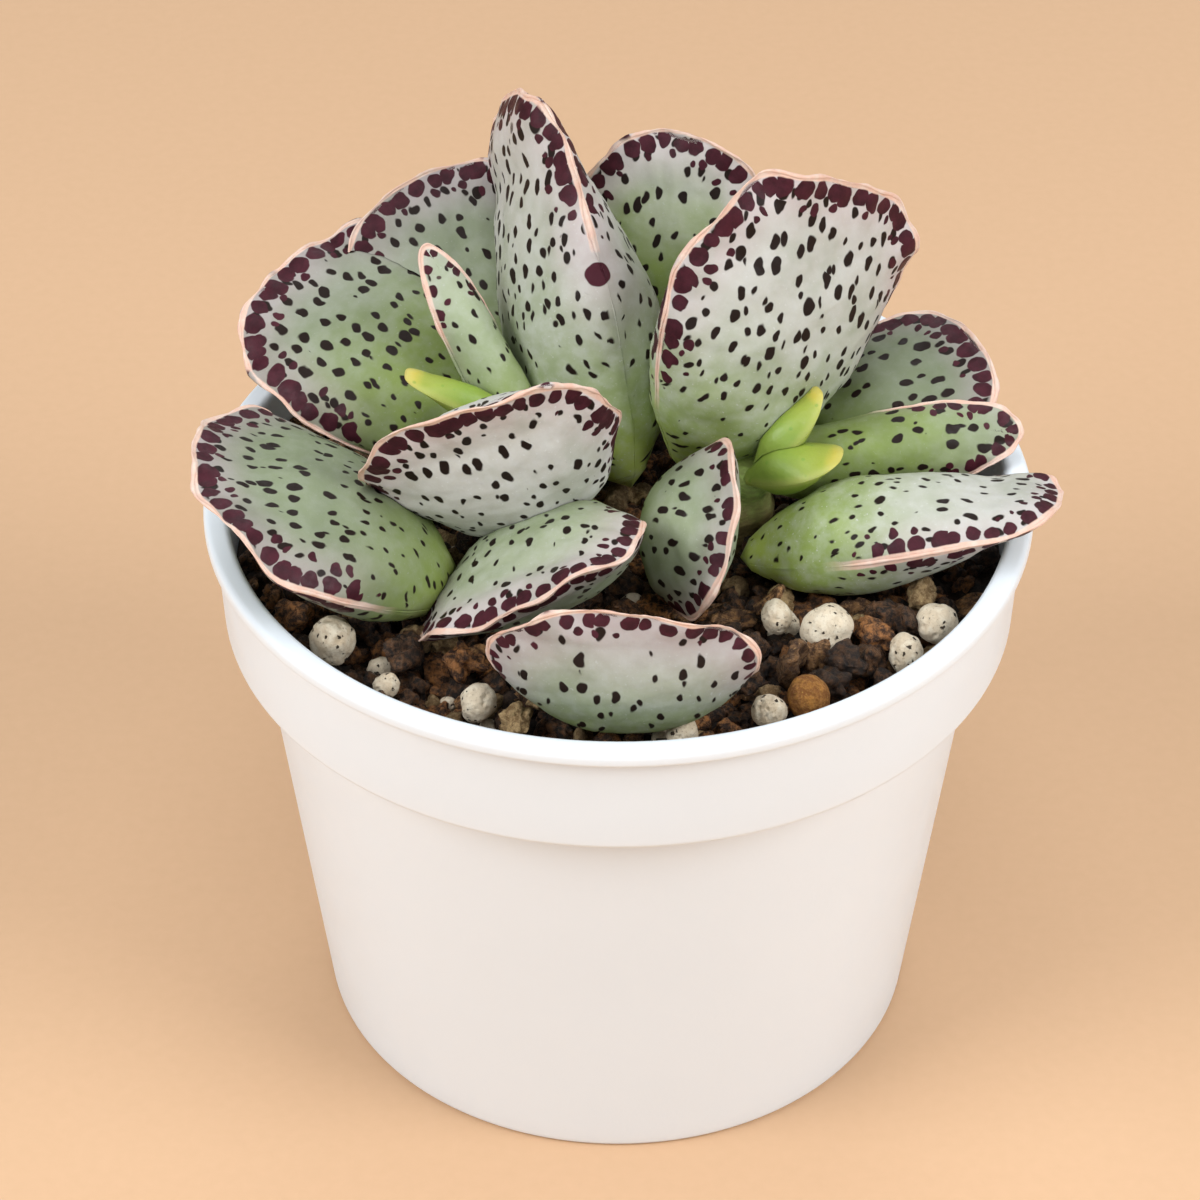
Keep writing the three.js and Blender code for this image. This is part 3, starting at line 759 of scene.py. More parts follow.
def blotches(g, run, inset, face, wobble, t, look):
    """The rows of rounded blotches along the edge."""
    shake = g.split(wobble)
    along = g.add(g.add(run, g.times(shake[0], BLOTCH_WOBBLE)), g.times(face, FACE_APART))
    deep = g.add(inset, g.times(shake[1], BLOTCH_WOBBLE))
    grown = g.remap(g.add(t, g.times(shake[2], 0.2)), look["edge"], look["edge"] + 0.12)
    rows = []
    for row in BLOTCH_ROWS:
        cells = g.node("TexVoronoi", {"voronoi_dimensions": "1D"}, W=g.add(along, row["shift"]),
                       Scale=1 / row["spacing"], Randomness=0.6)
        pick = g.split_colour(cells.outputs["Color"])
        aside = g.times(cells.outputs["Distance"], row["spacing"])
        centre = g.add(row["depth"], g.swing(pick[1], row["spread"]))
        inwards = g.less(deep, g.times(centre, look["blotch"]))
        away = g.math("SQRT", g.add(g.times(aside, aside), g.times(inwards, inwards)))
        radius = g.remap(pick[0], 0.0, 1.0, row["least"] * look["blotch"],
                         row["most"] * look["blotch"], "LINEAR")
        there = g.remap(g.less(row["odds"], pick[2]), -0.02, 0.05)
        radius = g.times(g.times(radius, there), grown)
        mark = g.remap(g.less(radius, away), -BLOTCH_SOFT, BLOTCH_SOFT)
        rows.append(g.times(mark, g.remap(radius, 0.1, 0.3)))
    return g.most(*rows)


def horny_edge(g, inset, shake, t, look):
    width = g.add(look["horn"], g.times(shake, HORN_WOBBLE))
    horn = g.remap(g.less(inset, width), 0.12, -0.08)
    return g.times(horn, g.remap(t, look["edge"] - 0.10, look["edge"] + 0.06))


def leaf_material(name, leaf, look, seed):
    g = Graph(name + "_skin")
    place = g.attribute("leaf_mm")
    run, inset, face = g.split(g.attribute("rim"))
    leaf_shift = tuple(seed * PATTERN_SHIFT)
    moved = g.vector("ADD", place, leaf_shift)
    t = g.math("DIVIDE", g.split(place)[1], leaf["long"])
    apart = g.node("CombineXYZ", X=g.times(face, FACE_APART)).outputs[0]
    shift = g.vector("ADD", apart, leaf_shift)
    half = (0.5, 0.5, 0.5)
    wobble = g.vector("SUBTRACT", g.noise(moved, 0.55, 1.0, output=1), half)
    edge_wobble = g.vector("SUBTRACT", g.noise(moved, 0.50, 1.5, output=1), half)

    ground, mottle = leaf_ground(g, moved, inset, t, leaf, look)
    skin_place = g.attribute("skin_mm")
    spots = g.most(*(free_marks(g, skin_place, wobble, t, shift, look["size"], marks)
                     for marks in (SPOTS | {"odds": look["spots"]}, DASHES)))
    spots = g.times(spots, g.remap(inset, *SPOT_INSET))
    skin = g.mix(spots, ground, DARK_SPOT)
    blotch = blotches(g, run, inset, face, edge_wobble, t, look)
    skin = g.mix(blotch, skin, g.mix(g.remap(mottle, 0.3, 0.7), BLOTCH, BLOTCH_DEEP))
    horn = horny_edge(g, inset, g.split(edge_wobble)[2], t, look)
    skin = g.mix(horn, skin, g.mix(g.remap(mottle, 0.35, 0.7), HORN, HORN_PALE))
    marks = g.most(spots, blotch)
    if name in LONE_SPOT:
        lone = LONE_SPOT[name]
        bent = g.vector("ADD", place, g.scaled(wobble, 0.5))
        gap = g.less(lone["radius"], g.length(g.vector("SUBTRACT", bent, lone["place"])))
        dot = g.remap(gap, -0.08, 0.08)
        skin = g.mix(g.remap(gap, *lone["clear"]), skin, ground)
        skin = g.mix(dot, skin, BLOTCH)
        marks = g.most(marks, dot)

    rough = g.remap(g.noise(moved, 1.6, 3.0), 0.3, 0.7, 0.52, 0.66)
    relief = g.add(g.times(g.noise(moved, 3.2, 3.0, 0.6), 0.5), g.times(marks, 0.35))
    g.shader.subsurface_method = "RANDOM_WALK"
    return g.finish(
        Base_Color=skin, Roughness=g.less(rough, g.times(marks, 0.12)),
        Normal=g.bump(relief, 0.35, SKIN_BUMP), Subsurface_Weight=0.06,
        Subsurface_Radius=(0.0010, 0.0012, 0.0006), Subsurface_Scale=1.0,
        Specular_IOR_Level=0.15)


def sprout_material(name, leaf, seed):
    g = Graph(name + "_skin")
    place = g.attribute("leaf_mm")
    moved = g.vector("ADD", place, tuple(seed * PATTERN_SHIFT))
    t = g.math("DIVIDE", g.split(place)[1], leaf["long"])
    ground = g.ramp(g.add(t, g.swing(g.noise(moved, 0.4, 3.0), 0.07)),
                    (0.0, (0.22, 0.30, 0.05)), (0.5, (0.23, 0.33, 0.045)),
                    (0.85, (0.33, 0.38, 0.055)), (0.99, (0.70, 0.50, 0.08)))
    inset = g.split(g.attribute("rim"))[1]
    ground = g.mix(g.remap(inset, 1.1, 0.2, 0.0, 0.5), ground, (0.45, 0.46, 0.13))
    voronoi = g.node("TexVoronoi", Vector=moved, Scale=0.75, Randomness=1.0)
    pick = g.split_colour(voronoi.outputs["Color"])
    radius = g.times(g.remap(pick[0], 0.55, 0.7), 0.17)
    dash = g.remap(g.less(radius, voronoi.outputs["Distance"]), -0.06, 0.06)
    skin = g.mix(g.times(dash, 0.55), ground, (0.16, 0.30, 0.03))
    return g.finish(
        Base_Color=skin, Roughness=0.42, Normal=g.bump(g.noise(moved, 2.5, 3.0), 0.3, SKIN_BUMP),
        Subsurface_Weight=0.3, Subsurface_Radius=(0.0020, 0.0026, 0.0008), Subsurface_Scale=1.0)


# Stems

STEM_RELIEF = ((0.14, 4.0, 0), (0.06, 1.2, 50))


def stem_points(stem, seed):
    foot, head = (np.array(stem[key], float) for key in ("foot", "head"))
    long = np.linalg.norm(head - foot)
    along = (head - foot) / long
    side = np.cross(along, (0, 1, 0))
    side /= np.linalg.norm(side)
    t = np.arange(STEM_STEPS + 1) / STEM_STEPS
    taper = stem["foot_radius"] + (stem["head_radius"] - stem["foot_radius"]) * t
    swell = STEM_SWELL * (0.5 - 0.5 * np.cos(FULL_TURN * STEM_RINGS * t))
    crown = np.sqrt(1 - np.clip((t - 1 + STEM_CROWN) / STEM_CROWN, 0, 1) ** 2)
    radii = (taper + swell) * np.maximum(crown, STEM_TIP)
    upright, faces = lathe(zip(radii, long * t), STEM_SIDES)
    top = STEM_STEPS * STEM_SIDES
    faces += [tuple(range(STEM_SIDES))[::-1], tuple(range(top, top + STEM_SIDES))]
    out = upright[:, :1] * side + upright[:, 1:2] * np.cross(along, side)
    points = foot + upright[:, 2:] * along + out
    out /= np.maximum(np.linalg.norm(out, axis=1)[:, None], TINY)
    return points + out * Waves(seed).layers(points, STEM_RELIEF)[:, None], faces


def stem_material():
    g = Graph("stem_bark")
    place = g.place_mm()
    level = g.add(g.split(place)[2], g.swing(g.noise(place, 0.5, 4.0), 6.0))
    colour = g.ramp(g.remap(level, 62.0, 78.0, kind="LINEAR"),
                    (0.0, (0.16, 0.09, 0.04)), (0.35, (0.34, 0.27, 0.10)),
                    (0.6, (0.36, 0.48, 0.12)), (1.0, (0.48, 0.62, 0.16)))
    cracks = g.noise(g.vector("MULTIPLY", place, (1.0, 1.0, 3.0)), 0.9, 4.0, 0.65)
    colour = g.mix(g.remap(cracks, 0.62, 0.42, 0.0, 0.35), colour, (0.12, 0.08, 0.03))
    return g.finish(Base_Color=colour, Roughness=0.62, Normal=g.bump(cracks, 0.6, 0.0003))


# Pot

def rounded(profile):
    """A closed profile of (radius, height, rounding) corners, with arcs at the rounded ones."""
    out = []
    count = len(profile)
    for i, (r, z, rounding) in enumerate(profile):
        here = np.array([r, z], float)
        if rounding == 0:
            out.append(here)
            continue
        before = np.array(profile[i - 1][:2], float) - here
        after = np.array(profile[(i + 1) % count][:2], float) - here
        room = min(np.linalg.norm(before), np.linalg.norm(after)) * ARC_ROOM
        before /= np.linalg.norm(before)
        after /= np.linalg.norm(after)
        half = math.acos(float(np.clip(before @ after, -1, 1))) / 2
        run = min(rounding / math.tan(half), room)
        start, end = here + before * run, here + after * run
        for k in range(ARC_STEPS + 1):
            t = k / ARC_STEPS
            out.append((1 - t) ** 2 * start + 2 * t * (1 - t) * here + t * t * end)
    return out


def long_edges_split(profile):
    """Adds points along long straight stretches."""
    out = [profile[0]]
    for a, b in zip(profile, profile[1:]):
        pieces = max(1, int(np.linalg.norm(b - a) / LONGEST_EDGE))
        out += [a + (b - a) * k / pieces for k in range(1, pieces + 1)]
    return out


def pot_object():
    under = POT_HEIGHT - LIP_THICK
    ring = FOOT_RADIUS - FOOT_RING_WIDTH
    floor = FOOT_RING_HEIGHT
    profile = [
        (0, 0, 0),
        (FOOT_PAD_RADIUS, 0, 0.4),
        (FOOT_PAD_RADIUS, floor, 0.4),
        (ring, floor, 0.5),
        (ring, 0, 0.4),
        (FOOT_RADIUS, 0, 1.0),
        (WALL_TOP_RADIUS, STEP_HEIGHT - STEP_SLOPE, 0.5),
        (COLLAR_RADIUS, STEP_HEIGHT, 0.9),
        (COLLAR_TOP_RADIUS, under, 0.5),
        (LIP_RADIUS, under, 0.8),
        (LIP_RADIUS, POT_HEIGHT, 0.95),
        (MOUTH_RADIUS, POT_HEIGHT, 1.1),
        (COLLAR_RADIUS - WALL_THICK, STEP_HEIGHT + WALL_THICK, 0.8),
        (WALL_TOP_RADIUS - WALL_THICK, STEP_HEIGHT, 0.8),
        (FOOT_RADIUS - WALL_THICK, INNER_FLOOR, 1.0),
        (0, INNER_FLOOR, 0),
    ]
    pot = make_object("pot_shell", *lathe(long_edges_split(rounded(profile)), POT_SIDES))
    low, high = floor - 3, floor + 4
    points, faces = lathe([(0, low), (DRAIN_HOLE_RADIUS, low), (DRAIN_HOLE_RADIUS, high),
                           (0, high)], DRAIN_HOLE_SIDES)
    for i in range(DRAIN_HOLES):
        turn = FULL_TURN * (i + 0.5) / DRAIN_HOLES
        x, y = DRAIN_CIRCLE_RADIUS * math.cos(turn), DRAIN_CIRCLE_RADIUS * math.sin(turn)
        drill = make_object("drill", points + (x, y, 0), faces)
        cut(pot, drill)
        bpy.data.objects.remove(drill)
    smooth_with_creases(pot, 35)
    return pot


def pot_material():
    g = Graph("pot_white_plastic")
    place = g.place_mm()
    colour = g.mix(g.noise(place, 0.05, 3.0), (0.79, 0.84, 0.89), (0.765, 0.815, 0.865))
    rough = g.remap(g.noise(place, 0.3, 4.0), 0.3, 0.7, 0.34, 0.46)
    grain = g.bump(g.noise(place, 2.2, 3.0, 0.55), 0.12, 0.0001)
    return g.finish(
        Base_Color=colour, Roughness=rough, Normal=grain, Subsurface_Weight=0.15,
        Subsurface_Radius=(0.003, 0.003, 0.003), Subsurface_Scale=1.0, IOR=1.49)


# Potting mix

BED_SEED = 77
BED_RELIEF = ((0.4, 9.0, 0), (0.3, 3.0, 31), (0.2, 1.4, 77), (0.1, 0.9, 55))

# Grains that stand out in the mix: kind, x, y, radius
NAMED_GRAINS = [
    ("pumice", -32.0, -22.5, 3.0), ("pumice", -25.7, -29.9, 1.4), ("pumice", -15.4, -33.0, 2.1),
    ("pumice", -4.1, -38.0, 2.2), ("pumice", 7.1, -37.9, 2.0), ("pumice", 16.7, -34.2, 1.9),
    ("pumice", 23.5, -20.3, 3.0), ("pumice", 17.9, -17.8, 1.9), ("pumice", 32.3, -24.0, 2.1),
    ("pumice", 36.0, -18.8, 2.3), ("sand", 34.4, -14.0, 1.7), ("sand", -11.3, -36.4, 1.7),
    ("clay", 21.0, -32.1, 2.6), ("lava", 28.9, -20.6, 2.1), ("bark", 19.2, -26.1, 2.6),
    ("crumb", -23.7, -24.3, 2.2), ("lava", -17.3, -25.8, 2.2), ("sand", -22.6, -21.3, 1.6),
    ("lava", -36.4, -17.9, 2.0), ("lava", -39.3, -14.0, 1.5), ("sand", -8.6, -32.1, 1.2),
    ("crumb", 25.0, -25.5, 1.9), ("crumb", 33.0, -18.3, 1.6), ("sand", 16.8, -31.0, 1.3),
    ("crumb", 14.5, -29.0, 1.6),
]
NAMED_RISE = 0.35  # how far a named grain's centre stands over the nominal top, in radii
FILL_GRAINS = 830
FILL_KINDS = {"crumb": 0.44, "lava": 0.30, "bark": 0.13, "sand": 0.07, "pumice": 0.06}
FILL_RADIUS = dict(least=0.95, most=1.65, large=1.1)
FILL_HEIGHTS = (-1, 2.5)
FINE_GRAIN = 2.0  # radius from which a grain has a finer mesh
HIDING = dict(near=0.8, over=0.5)  # a grain here, in radii, would hide a named one
CLEAR_NAMED = 0.45  # how near to a leaf or stem a grain's centre may be, in radii
CLEAR_FILL = 0.8
MOST_CROSSINGS = 20
# Settling, a round at a time: how near two grains may be, in the sum of their radii; the share
# of an overlap that goes; how far a grain sinks; how high over the bed, and a share of its radius
# more, its centre rests; and how near to the wall, in radii
SETTLE = dict(rounds=45, apart=0.86, goes=0.35, sinks=0.12, over=0.2, rests=0.25, wall=0.95)
PITS = dict(count=14, more=5, wide=(0.07, 0.17), deep=(0.05, 0.11))  # more: per mm of radius
DENTS = dict(depth=0.05, stretch=(0.55, 0.9), size=1.1, shift=5)
BROKEN_FACE = dict(out=0.55, flattened=0.8)

# Each kind's form: the layers of its lumps, and the range of its three proportions
ROUND_FORMS = table("layers proportions", {
    "pumice": (((0.07, 2.4, 0), (0.02, 0.7, 9)), (0.86, 1.08)),
    "clay": (((0.05, 2.0, 0), (0.02, 0.5, 9)), (0.9, 1.1)),
})
BARK_LAYERS = ((0.16, 1.7, 0),)
ROUGH_FORM = dict(layers=((0.16, 1.6, 0), (0.09, 0.8, 9), (0.045, 0.38, 19)),
                  proportions=(0.75, 1.15))
BARK_PROPORTIONS = (1.55, 0.85, 0.38)

# The grains' colours and roughness, but for pumice
GRAIN_LOOKS = table("dark light rough", {
    "crumb": ((0.010, 0.005, 0.003), (0.20, 0.090, 0.036), 0.50),
    "lava": ((0.040, 0.015, 0.006), (0.56, 0.235, 0.075), 0.55),
    "bark": ((0.080, 0.034, 0.014), (0.62, 0.32, 0.13), 0.50),
    "sand": ((0.24, 0.14, 0.055), (0.66, 0.45, 0.22), 0.70),
    "clay": ((0.34, 0.12, 0.020), (0.80, 0.36, 0.07), 0.55),
})
DAMP = np.array([0.02, 0.01, 0.006])
# Painted highlights: the grains' glints are painted into their colour.
PAINTED_GLINT = 1.9  # how much lighter than its light colour a grain's glints are


def inside_radius(z):
    if z <= STEP_HEIGHT:
        t = (z - INNER_FLOOR) / (STEP_HEIGHT - INNER_FLOOR)
        return FOOT_RADIUS - WALL_THICK + (WALL_TOP_RADIUS - FOOT_RADIUS) * t
    low = COLLAR_RADIUS - WALL_THICK
    t = (z - STEP_HEIGHT - WALL_THICK) / (COLLAR_DROP - WALL_THICK - MOUTH_EDGE)
    return low + (MOUTH_RADIUS - low) * max(0.0, min(1.0, t))


def soil_bed():
    """The body of the mix under the grains: fines with a rough top."""
    bottom = INNER_FLOOR + SEAT_GAP
    top = SOIL_TOP - BED_DEPTH
    reach = inside_radius(SOIL_TOP) - SEAT_GAP
    profile = [(0, bottom), (inside_radius(bottom) - SEAT_GAP, bottom),
               (inside_radius(STEP_HEIGHT) - SEAT_GAP, STEP_HEIGHT + SEAT_GAP),
               (reach, STEP_HEIGHT + WALL_THICK + 2 * SEAT_GAP), (reach, top - BED_SKIRT)]
    profile += [(reach * (1 - k / BED_RINGS), top) for k in range(1, BED_RINGS)] + [(0, top)]
    points, faces = lathe(profile, BED_SIDES)
    lift = Waves(BED_SEED, 24).layers(points, BED_RELIEF)
    points[:, 2] += np.where(points[:, 2] > top - TINY, lift, 0)
    obj = make_object("soil_bed", points, faces)
    smooth_with_creases(obj, 60)
    return obj


ICOSPHERES = {}


def icosphere(level):
    if level not in ICOSPHERES:
        bm = bmesh.new()
        bmesh.ops.create_icosphere(bm, subdivisions=level, radius=1.0)
        points = np.array([v.co[:] for v in bm.verts])
        faces = [tuple(v.index for v in f.verts) for f in bm.faces]
        bm.free()
        ICOSPHERES[level] = (points, faces)
    return ICOSPHERES[level]


def turned(points, rng):
    axis = rng.normal(size=3)
    axis /= np.linalg.norm(axis)
    turn = Matrix.Rotation(rng.uniform(0, FULL_TURN), 3, Vector(axis))
    return points @ np.array(turn).T


def pits(points, radius, rng):
    """Depth of the small pits in a pumice ball."""
    depth = 0
    for _ in range(int(PITS["count"] + PITS["more"] * radius)):
        way = rng.normal(size=3)
        way /= np.linalg.norm(way)
        wide = rng.uniform(*PITS["wide"])
        away = np.linalg.norm(points - way, axis=1)
        depth = depth + rng.uniform(*PITS["deep"]) * np.exp(-(away / wide) ** 4)
    return depth


def bark_flake(points, field, rng):
    out = points * (1 + field.layers(points, BARK_LAYERS))[:, None]
    out = np.sign(out) * np.abs(out) ** 0.8
    grooves = np.sin(out[:, 1] * 9 + 1.5 * field(points, 1.2))
    out *= BARK_PROPORTIONS
    out[:, 2] += 0.07 * grooves + 0.10 * field(points + 3, 1.0)
    out[:, 2] += 0.22 * out[:, 0] ** 2 * rng.uniform(-0.5, 0.5)
    return out


def pebble(kind, radius, level, rng):
    """One grain in millimetres, round the origin, by its kind."""
    points, faces = icosphere(level)
    field = Waves(int(rng.integers(1 << 30)), 12)
    if kind == "bark":
        return turned(bark_flake(points, field, rng) * radius, rng), faces
    form = ROUND_FORMS.get(kind, ROUGH_FORM)
    size = 1 + field.layers(points, form["layers"])
    if kind == "pumice":
        size -= pits(points, radius, rng)
    elif kind == "clay":
        dents = field(points + DENTS["shift"], DENTS["size"])
        size -= DENTS["depth"] * smoothstep(*DENTS["stretch"], dents)
    out = points * size[:, None] * rng.uniform(*form["proportions"], 3)
    if form is ROUGH_FORM:
        over = np.maximum(0, out @ turned(np.eye(3), rng)[0] - BROKEN_FACE["out"])
        out -= np.outer(over * BROKEN_FACE["flattened"], turned(np.eye(3), rng)[0])
    return turned(out * radius, rng), faces


def settle(places, radii, fixed, reach):
    """Pushes overlapping grains apart and lets them sink until they rest on the bed."""
    floor = SOIL_TOP - BED_DEPTH + SETTLE["over"] + radii * SETTLE["rests"]
    room = (radii[:, None] + radii[None, :]) * SETTLE["apart"]
    limit = reach - radii * SETTLE["wall"]
    for _ in range(SETTLE["rounds"]):
        gap = places[:, None, :] - places[None, :, :]
        far = np.linalg.norm(gap, axis=2)
        np.fill_diagonal(far, np.inf)
        push = np.clip(room - far, 0, None)
        step = (gap / np.maximum(far, TINY)[:, :, None]) * push[:, :, None] * SETTLE["goes"]
        move = step.sum(axis=1)
        move[fixed] = 0
        places = places + move
        places[~fixed, 2] -= SETTLE["sinks"]
        places[:, 2] = np.maximum(places[:, 2], floor)
        shrink = np.minimum(1, limit / np.maximum(np.hypot(*places[:, :2].T), TINY))
        places[:, :2] *= shrink[:, None]
    return places


def in_the_way(tree, place, clear):
    """Whether a grain here would be inside a plant piece or press into it."""
    start = Vector(place * MM)
    near = tree.find_nearest(start)
    if near[0] is not None and near[3] < clear * MM:
        return True
    up = Vector((0, 0, 1))
    crossings = 0
    hit = tree.ray_cast(start, up)
    while hit[0] is not None and crossings < MOST_CROSSINGS:
        crossings += 1
        hit = tree.ray_cast(hit[0] + up * 0.02 * MM, up)
    return crossings % 2 == 1


def press_in(points):
    """Flattens against the pot's inside whatever part of a grain would reach into its wall."""
    wall = np.array([inside_radius(z) for z in points[:, 2]]) - SEAT_GAP
    out = np.maximum(np.hypot(points[:, 0], points[:, 1]), TINY)
    points[:, :2] *= np.minimum(1, wall / out)[:, None]
    return points


def grain_places(rng):
    """Kinds, places and radii of the named grains and the fill, and which ones are named."""
    kinds, x, y, radii = (list(column) for column in zip(*NAMED_GRAINS))
    places = [(*spot, SOIL_TOP + NAMED_RISE * radius) for *spot, radius in zip(x, y, radii)]
    names = list(FILL_KINDS)
    odds = np.array(list(FILL_KINDS.values()))
    reach = inside_radius(SOIL_TOP) - SEAT_GAP
    for i in range(FILL_GRAINS):
        kinds.append(names[rng.choice(len(names), p=odds / odds.sum())])
        radius = rng.uniform(FILL_RADIUS["least"], FILL_RADIUS["most"])
        radius += FILL_RADIUS["large"] * rng.random() ** 3
        out = (reach - radius) * math.sqrt((i + 0.5) / FILL_GRAINS)
        turn = i * GOLDEN_ANGLE + rng.normal() * 0.1
        height = SOIL_TOP + rng.uniform(*FILL_HEIGHTS)
        radii.append(radius)
        places.append((out * math.cos(turn), out * math.sin(turn), height))
    radii = np.array(radii)
    fixed = np.arange(len(radii)) < len(NAMED_GRAINS)
    return kinds, settle(np.array(places, float), radii, fixed, reach), radii, fixed


def grain_pieces(blockers):
    rng = np.random.default_rng(SOIL_SEED)
    kinds, places, radii, fixed = grain_places(rng)
    named = places[fixed]
    sorted_pieces = {}
    for kind, place, radius, pinned in zip(kinds, places, radii, fixed):
        if not pinned:
            away = np.hypot(named[:, 0] - place[0], named[:, 1] - place[1])
            hides = away < HIDING["near"] * (radii[fixed] + radius)
            if np.any(hides & (place[2] > named[:, 2] - HIDING["over"] * radii[fixed] - radius)):
                continue
        clear = radius * (CLEAR_NAMED if pinned else CLEAR_FILL)
        if any(in_the_way(tree, place, clear) for tree in blockers):
            continue
        if kind == "pumice":
            level = 5 if pinned else 4
        else:
            level = 4 if pinned or radius > FINE_GRAIN else 3
        points, faces = pebble(kind, radius, level, rng)
        tint = rng.random()
        sorted_pieces.setdefault(kind, []).append((press_in(points + place), faces, tint))
    return sorted_pieces


def pumice_material():
    g = Graph("grain_pumice")
    place = g.place_mm()
    fine = g.noise(place, 3.4, 5.0, 0.65)
    colour = g.mix(g.attribute("tint", "Fac"), (0.60, 0.47, 0.32), (0.74, 0.62, 0.46))
    lumps = g.remap(g.noise(place, 0.9, 4.0, 0.6), 0.40, 0.66, 0.0, 0.7)
    colour = g.mix(lumps, colour, (0.82, 0.73, 0.58))
    bent = g.vector("ADD", place, g.scaled(g.noise(place, 1.6, 2.0, output=1), 0.9))
    cells = g.node("TexVoronoi", Vector=bent, Scale=1.4, Randomness=1.0)
    wide = g.remap(g.split_colour(cells.outputs["Color"])[0], 0.35, 1.0, 0.0, 0.36)
    pit = g.remap(g.less(wide, cells.outputs["Distance"]), -0.03, 0.06)
    colour = g.mix(g.remap(fine, 0.55, 0.70, 0.0, 0.6), colour, (0.26, 0.17, 0.09))
    # Painted shade: the pits are coloured near black for the shade inside them.
    colour = g.mix(pit, colour, (0.045, 0.028, 0.015))
    relief = g.bump(g.less(g.times(fine, 0.6), pit), 0.9, 0.0004)
    return g.finish(Base_Color=colour, Roughness=0.85, Normal=relief)


def grain_material(kind):
    g = Graph("grain_" + kind)
    place = g.place_mm()
    dark, light, rough = (GRAIN_LOOKS[kind][key] for key in ("dark", "light", "rough"))
    grit = g.noise(place, 1.15, 6.0, 0.70)
    fine = g.noise(place, 3.4, 5.0, 0.65)
    colour = g.mix(g.remap(grit, 0.40, 0.64), dark, light)
    damp = tuple((np.array(dark) + DAMP) / 2)
    colour = g.mix(g.times(g.attribute("tint", "Fac"), 0.65), colour, damp)
    # Painted highlight: glints painted into the colour in small patches.
    painted_glint = tuple(min(1.0, PAINTED_GLINT * c) for c in light)
    colour = g.mix(g.remap(fine, 0.60, 0.72, 0.0, 0.5), colour, painted_glint)
    relief = g.add(g.times(grit, 0.9), g.times(fine, 0.5))
    rough = g.remap(grit, 0.35, 0.65, rough + 0.2, rough - 0.2)
    return g.finish(Base_Color=colour, Roughness=rough, Normal=g.bump(relief, 1.0, 0.0008))


def bed_material():
    g = Graph("soil_fines_gap_shade")
    place = g.place_mm()
    coarse = g.noise(place, 0.7, 5.0, 0.6)
    fine = g.noise(place, 3.0, 5.0, 0.65)
    # The fines are near black: their own dark colour, darkened further as painted shade for the
    # gaps between the grains.
    colour = g.mix(g.remap(coarse, 0.35, 0.7), (0.012, 0.008, 0.006), (0.055, 0.030, 0.018))
    colour = g.mix(g.remap(fine, 0.66, 0.8, 0.0, 0.5), colour, (0.16, 0.09, 0.05))
    relief = g.bump(g.add(coarse, g.times(fine, 0.5)), 1.0, 0.0006)
    return g.finish(Base_Color=colour, Roughness=0.95, Normal=relief)


# Build

def place_piece(obj, material, replaces=None):
    obj.data.materials.clear()
    obj.data.materials.append(material)
    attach(obj, BODY)
    if replaces:
        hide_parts(replaces)


def build_plant():
    """Stems and leaves; a leaf makes way for those made before it."""
    bark = stem_material()
    solids = []
    for seed, (name, stem) in enumerate(STEMS.items(), start=STEM_SEED):
        obj = make_object(name + "_bark", *stem_points(stem, seed))
        smooth_with_creases(obj, 60)
        place_piece(obj, bark, name)
        solids.append(obj)
    made = []
    for seed, (name, leaf) in enumerate(LEAVES.items(), start=1):
        obj, line = leaf_object(name + "_skin", leaf, seed)
        for cutter in made:
            if tree_of(obj).overlap(tree_of(cutter)):
                cut(obj, cutter)
        keep_largest(obj)
        made.append(grown_copy(obj, LEAF_GAP))
        add_leaf_attributes(obj, leaf, line)
        smooth_with_creases(obj, 70)
        if name.startswith("sprout"):
            place_piece(obj, sprout_material(name, leaf, seed), name)
        else:
            place_piece(obj, leaf_material(name, leaf, LOOKS[name], seed), name)
        solids.append(obj)
    for cutter in made:
        bpy.data.objects.remove(cutter)
    return [tree_of(obj) for obj in solids]


def build_soil(blockers):
    place_piece(soil_bed(), bed_material(), "soil")
    for kind, pieces in grain_pieces(blockers).items():
        obj = join_pieces("soil_" + kind, pieces)
        smooth_with_creases(obj, 75)
        material = pumice_material() if kind == "pumice" else grain_material(kind)
        place_piece(obj, material)


# Camera: on the photograph's sight line, 463 mm from the pot, looking down 38.4 degrees
CAMERA_PLACE = (0.0, -0.371156, 0.349458)
CAMERA_YAW = math.radians(-0.33)
CAMERA_PITCH = math.radians(38.42)
CAMERA_LENS = 120
CAMERA_SENSOR = 36

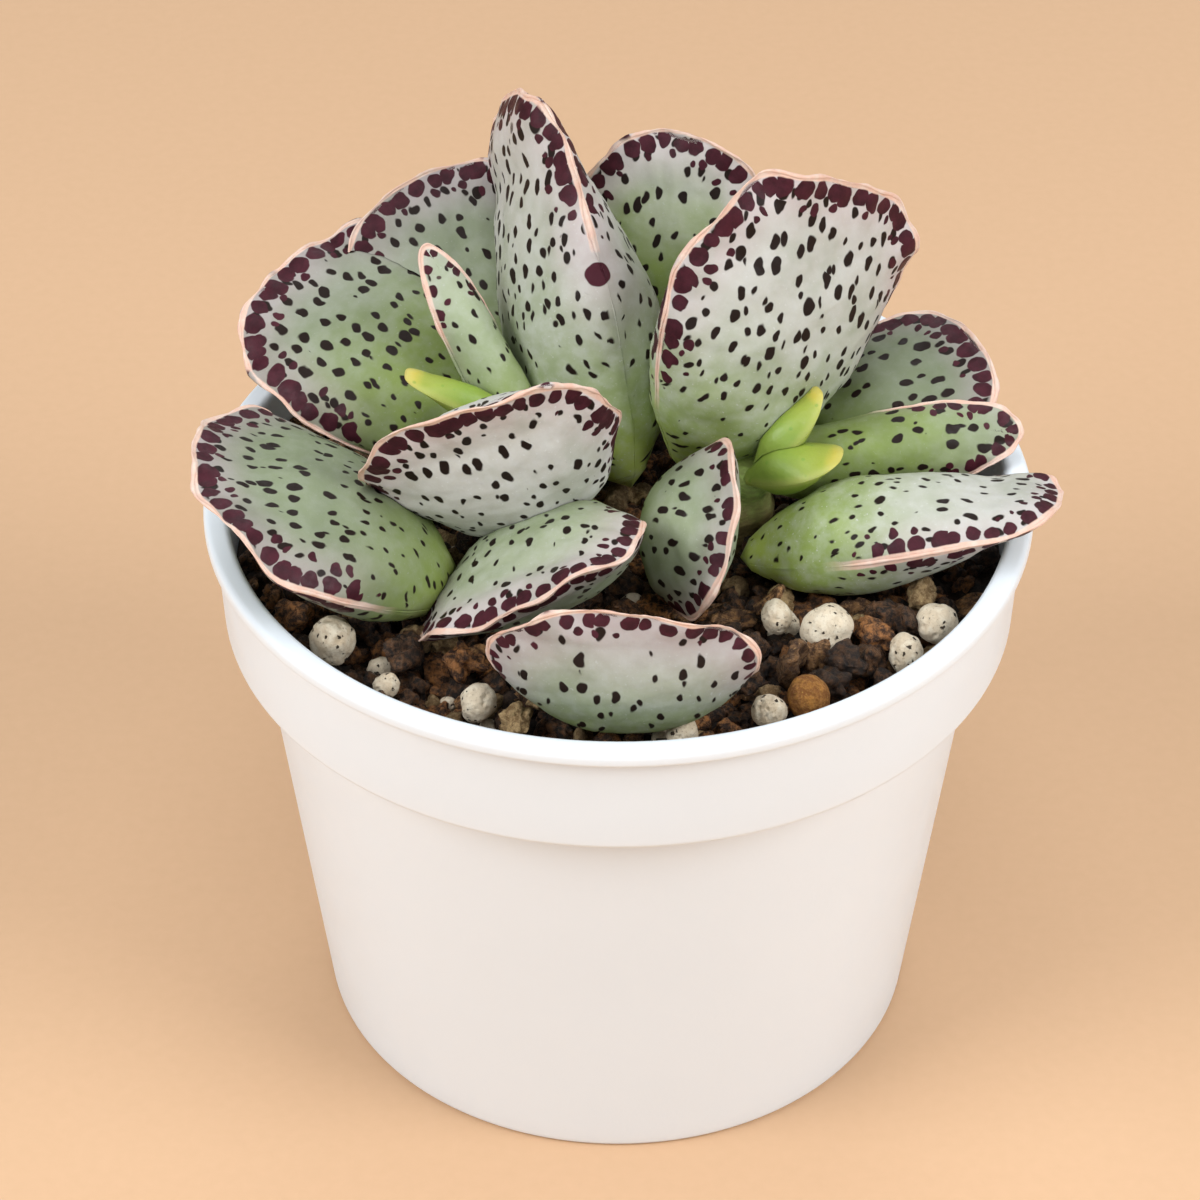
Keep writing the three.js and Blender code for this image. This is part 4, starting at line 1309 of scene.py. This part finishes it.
# Studio
FLOOR_REACH = 2500
AIM = Vector((0, 0, 0.06))
SKY = (0.94, 0.98, 1.0)
SKY_STRENGTH = 0.31
LIGHTS = table("place size power colour", {
    "left": ((-0.62, -0.32, 0.58), 0.5, 5.3, (0.95, 0.98, 1.0)),
    "right": ((0.62, -0.32, 0.58), 0.5, 5.3, (0.95, 0.98, 1.0)),
    "top": ((0.0, -0.05, 0.85), 0.4, 1.6, (0.95, 0.98, 1.0)),
    "front": ((0.0, -0.90, 0.30), 0.6, 1.6, (0.88, 0.95, 1.0)),
    "back": ((0.1, 0.65, 0.65), 0.5, 1.6, (0.95, 0.98, 1.0)),
})


def build_camera():
    data = bpy.data.cameras.new("camera")
    data.lens = CAMERA_LENS
    data.sensor_width = CAMERA_SENSOR
    data.sensor_fit = "HORIZONTAL"
    camera = bpy.data.objects.new("camera", data)
    forward = Vector((math.sin(CAMERA_YAW) * math.cos(CAMERA_PITCH),
                      math.cos(CAMERA_YAW) * math.cos(CAMERA_PITCH), -math.sin(CAMERA_PITCH)))
    right = Vector((math.cos(CAMERA_YAW), -math.sin(CAMERA_YAW), 0))
    turn = Matrix((right, right.cross(forward), -forward)).transposed().to_4x4()
    camera.matrix_world = Matrix.Translation(CAMERA_PLACE) @ turn
    bpy.context.scene.collection.objects.link(camera)
    bpy.context.scene.camera = camera


def area_light(name, row):
    data = bpy.data.lights.new(name, "AREA")
    data.shape = "DISK"
    data.size = row["size"]
    data.energy = row["power"]
    data.color = row["colour"]
    light = bpy.data.objects.new(name, data)
    light.location = row["place"]
    way = AIM - Vector(row["place"])
    light.rotation_euler = way.to_track_quat("-Z", "Y").to_euler()
    bpy.context.scene.collection.objects.link(light)


def build_studio():
    corners = np.array([(-1, -1, 0), (1, -1, 0), (1, 1, 0), (-1, 1, 0)]) * FLOOR_REACH
    floor = make_object("floor", corners, [(0, 1, 2, 3)])
    g = Graph("floor_paper")
    colour = g.mix(g.noise(g.place_mm(), 0.6, 4.0), (0.62, 0.39, 0.228), (0.66, 0.418, 0.25))
    floor.data.materials.append(g.finish(Base_Color=colour, Roughness=0.9))
    world = bpy.data.worlds.new("studio")
    world.use_nodes = True
    background = world.node_tree.nodes["Background"]
    background.inputs["Color"].default_value = (*SKY, 1)
    background.inputs["Strength"].default_value = SKY_STRENGTH
    bpy.context.scene.world = world
    bpy.context.scene.view_settings.view_transform = "Standard"
    for name, row in LIGHTS.items():
        area_light(name, row)


build_camera()
build_studio()
place_piece(pot_object(), pot_material(), "pot")
build_soil(build_plant())
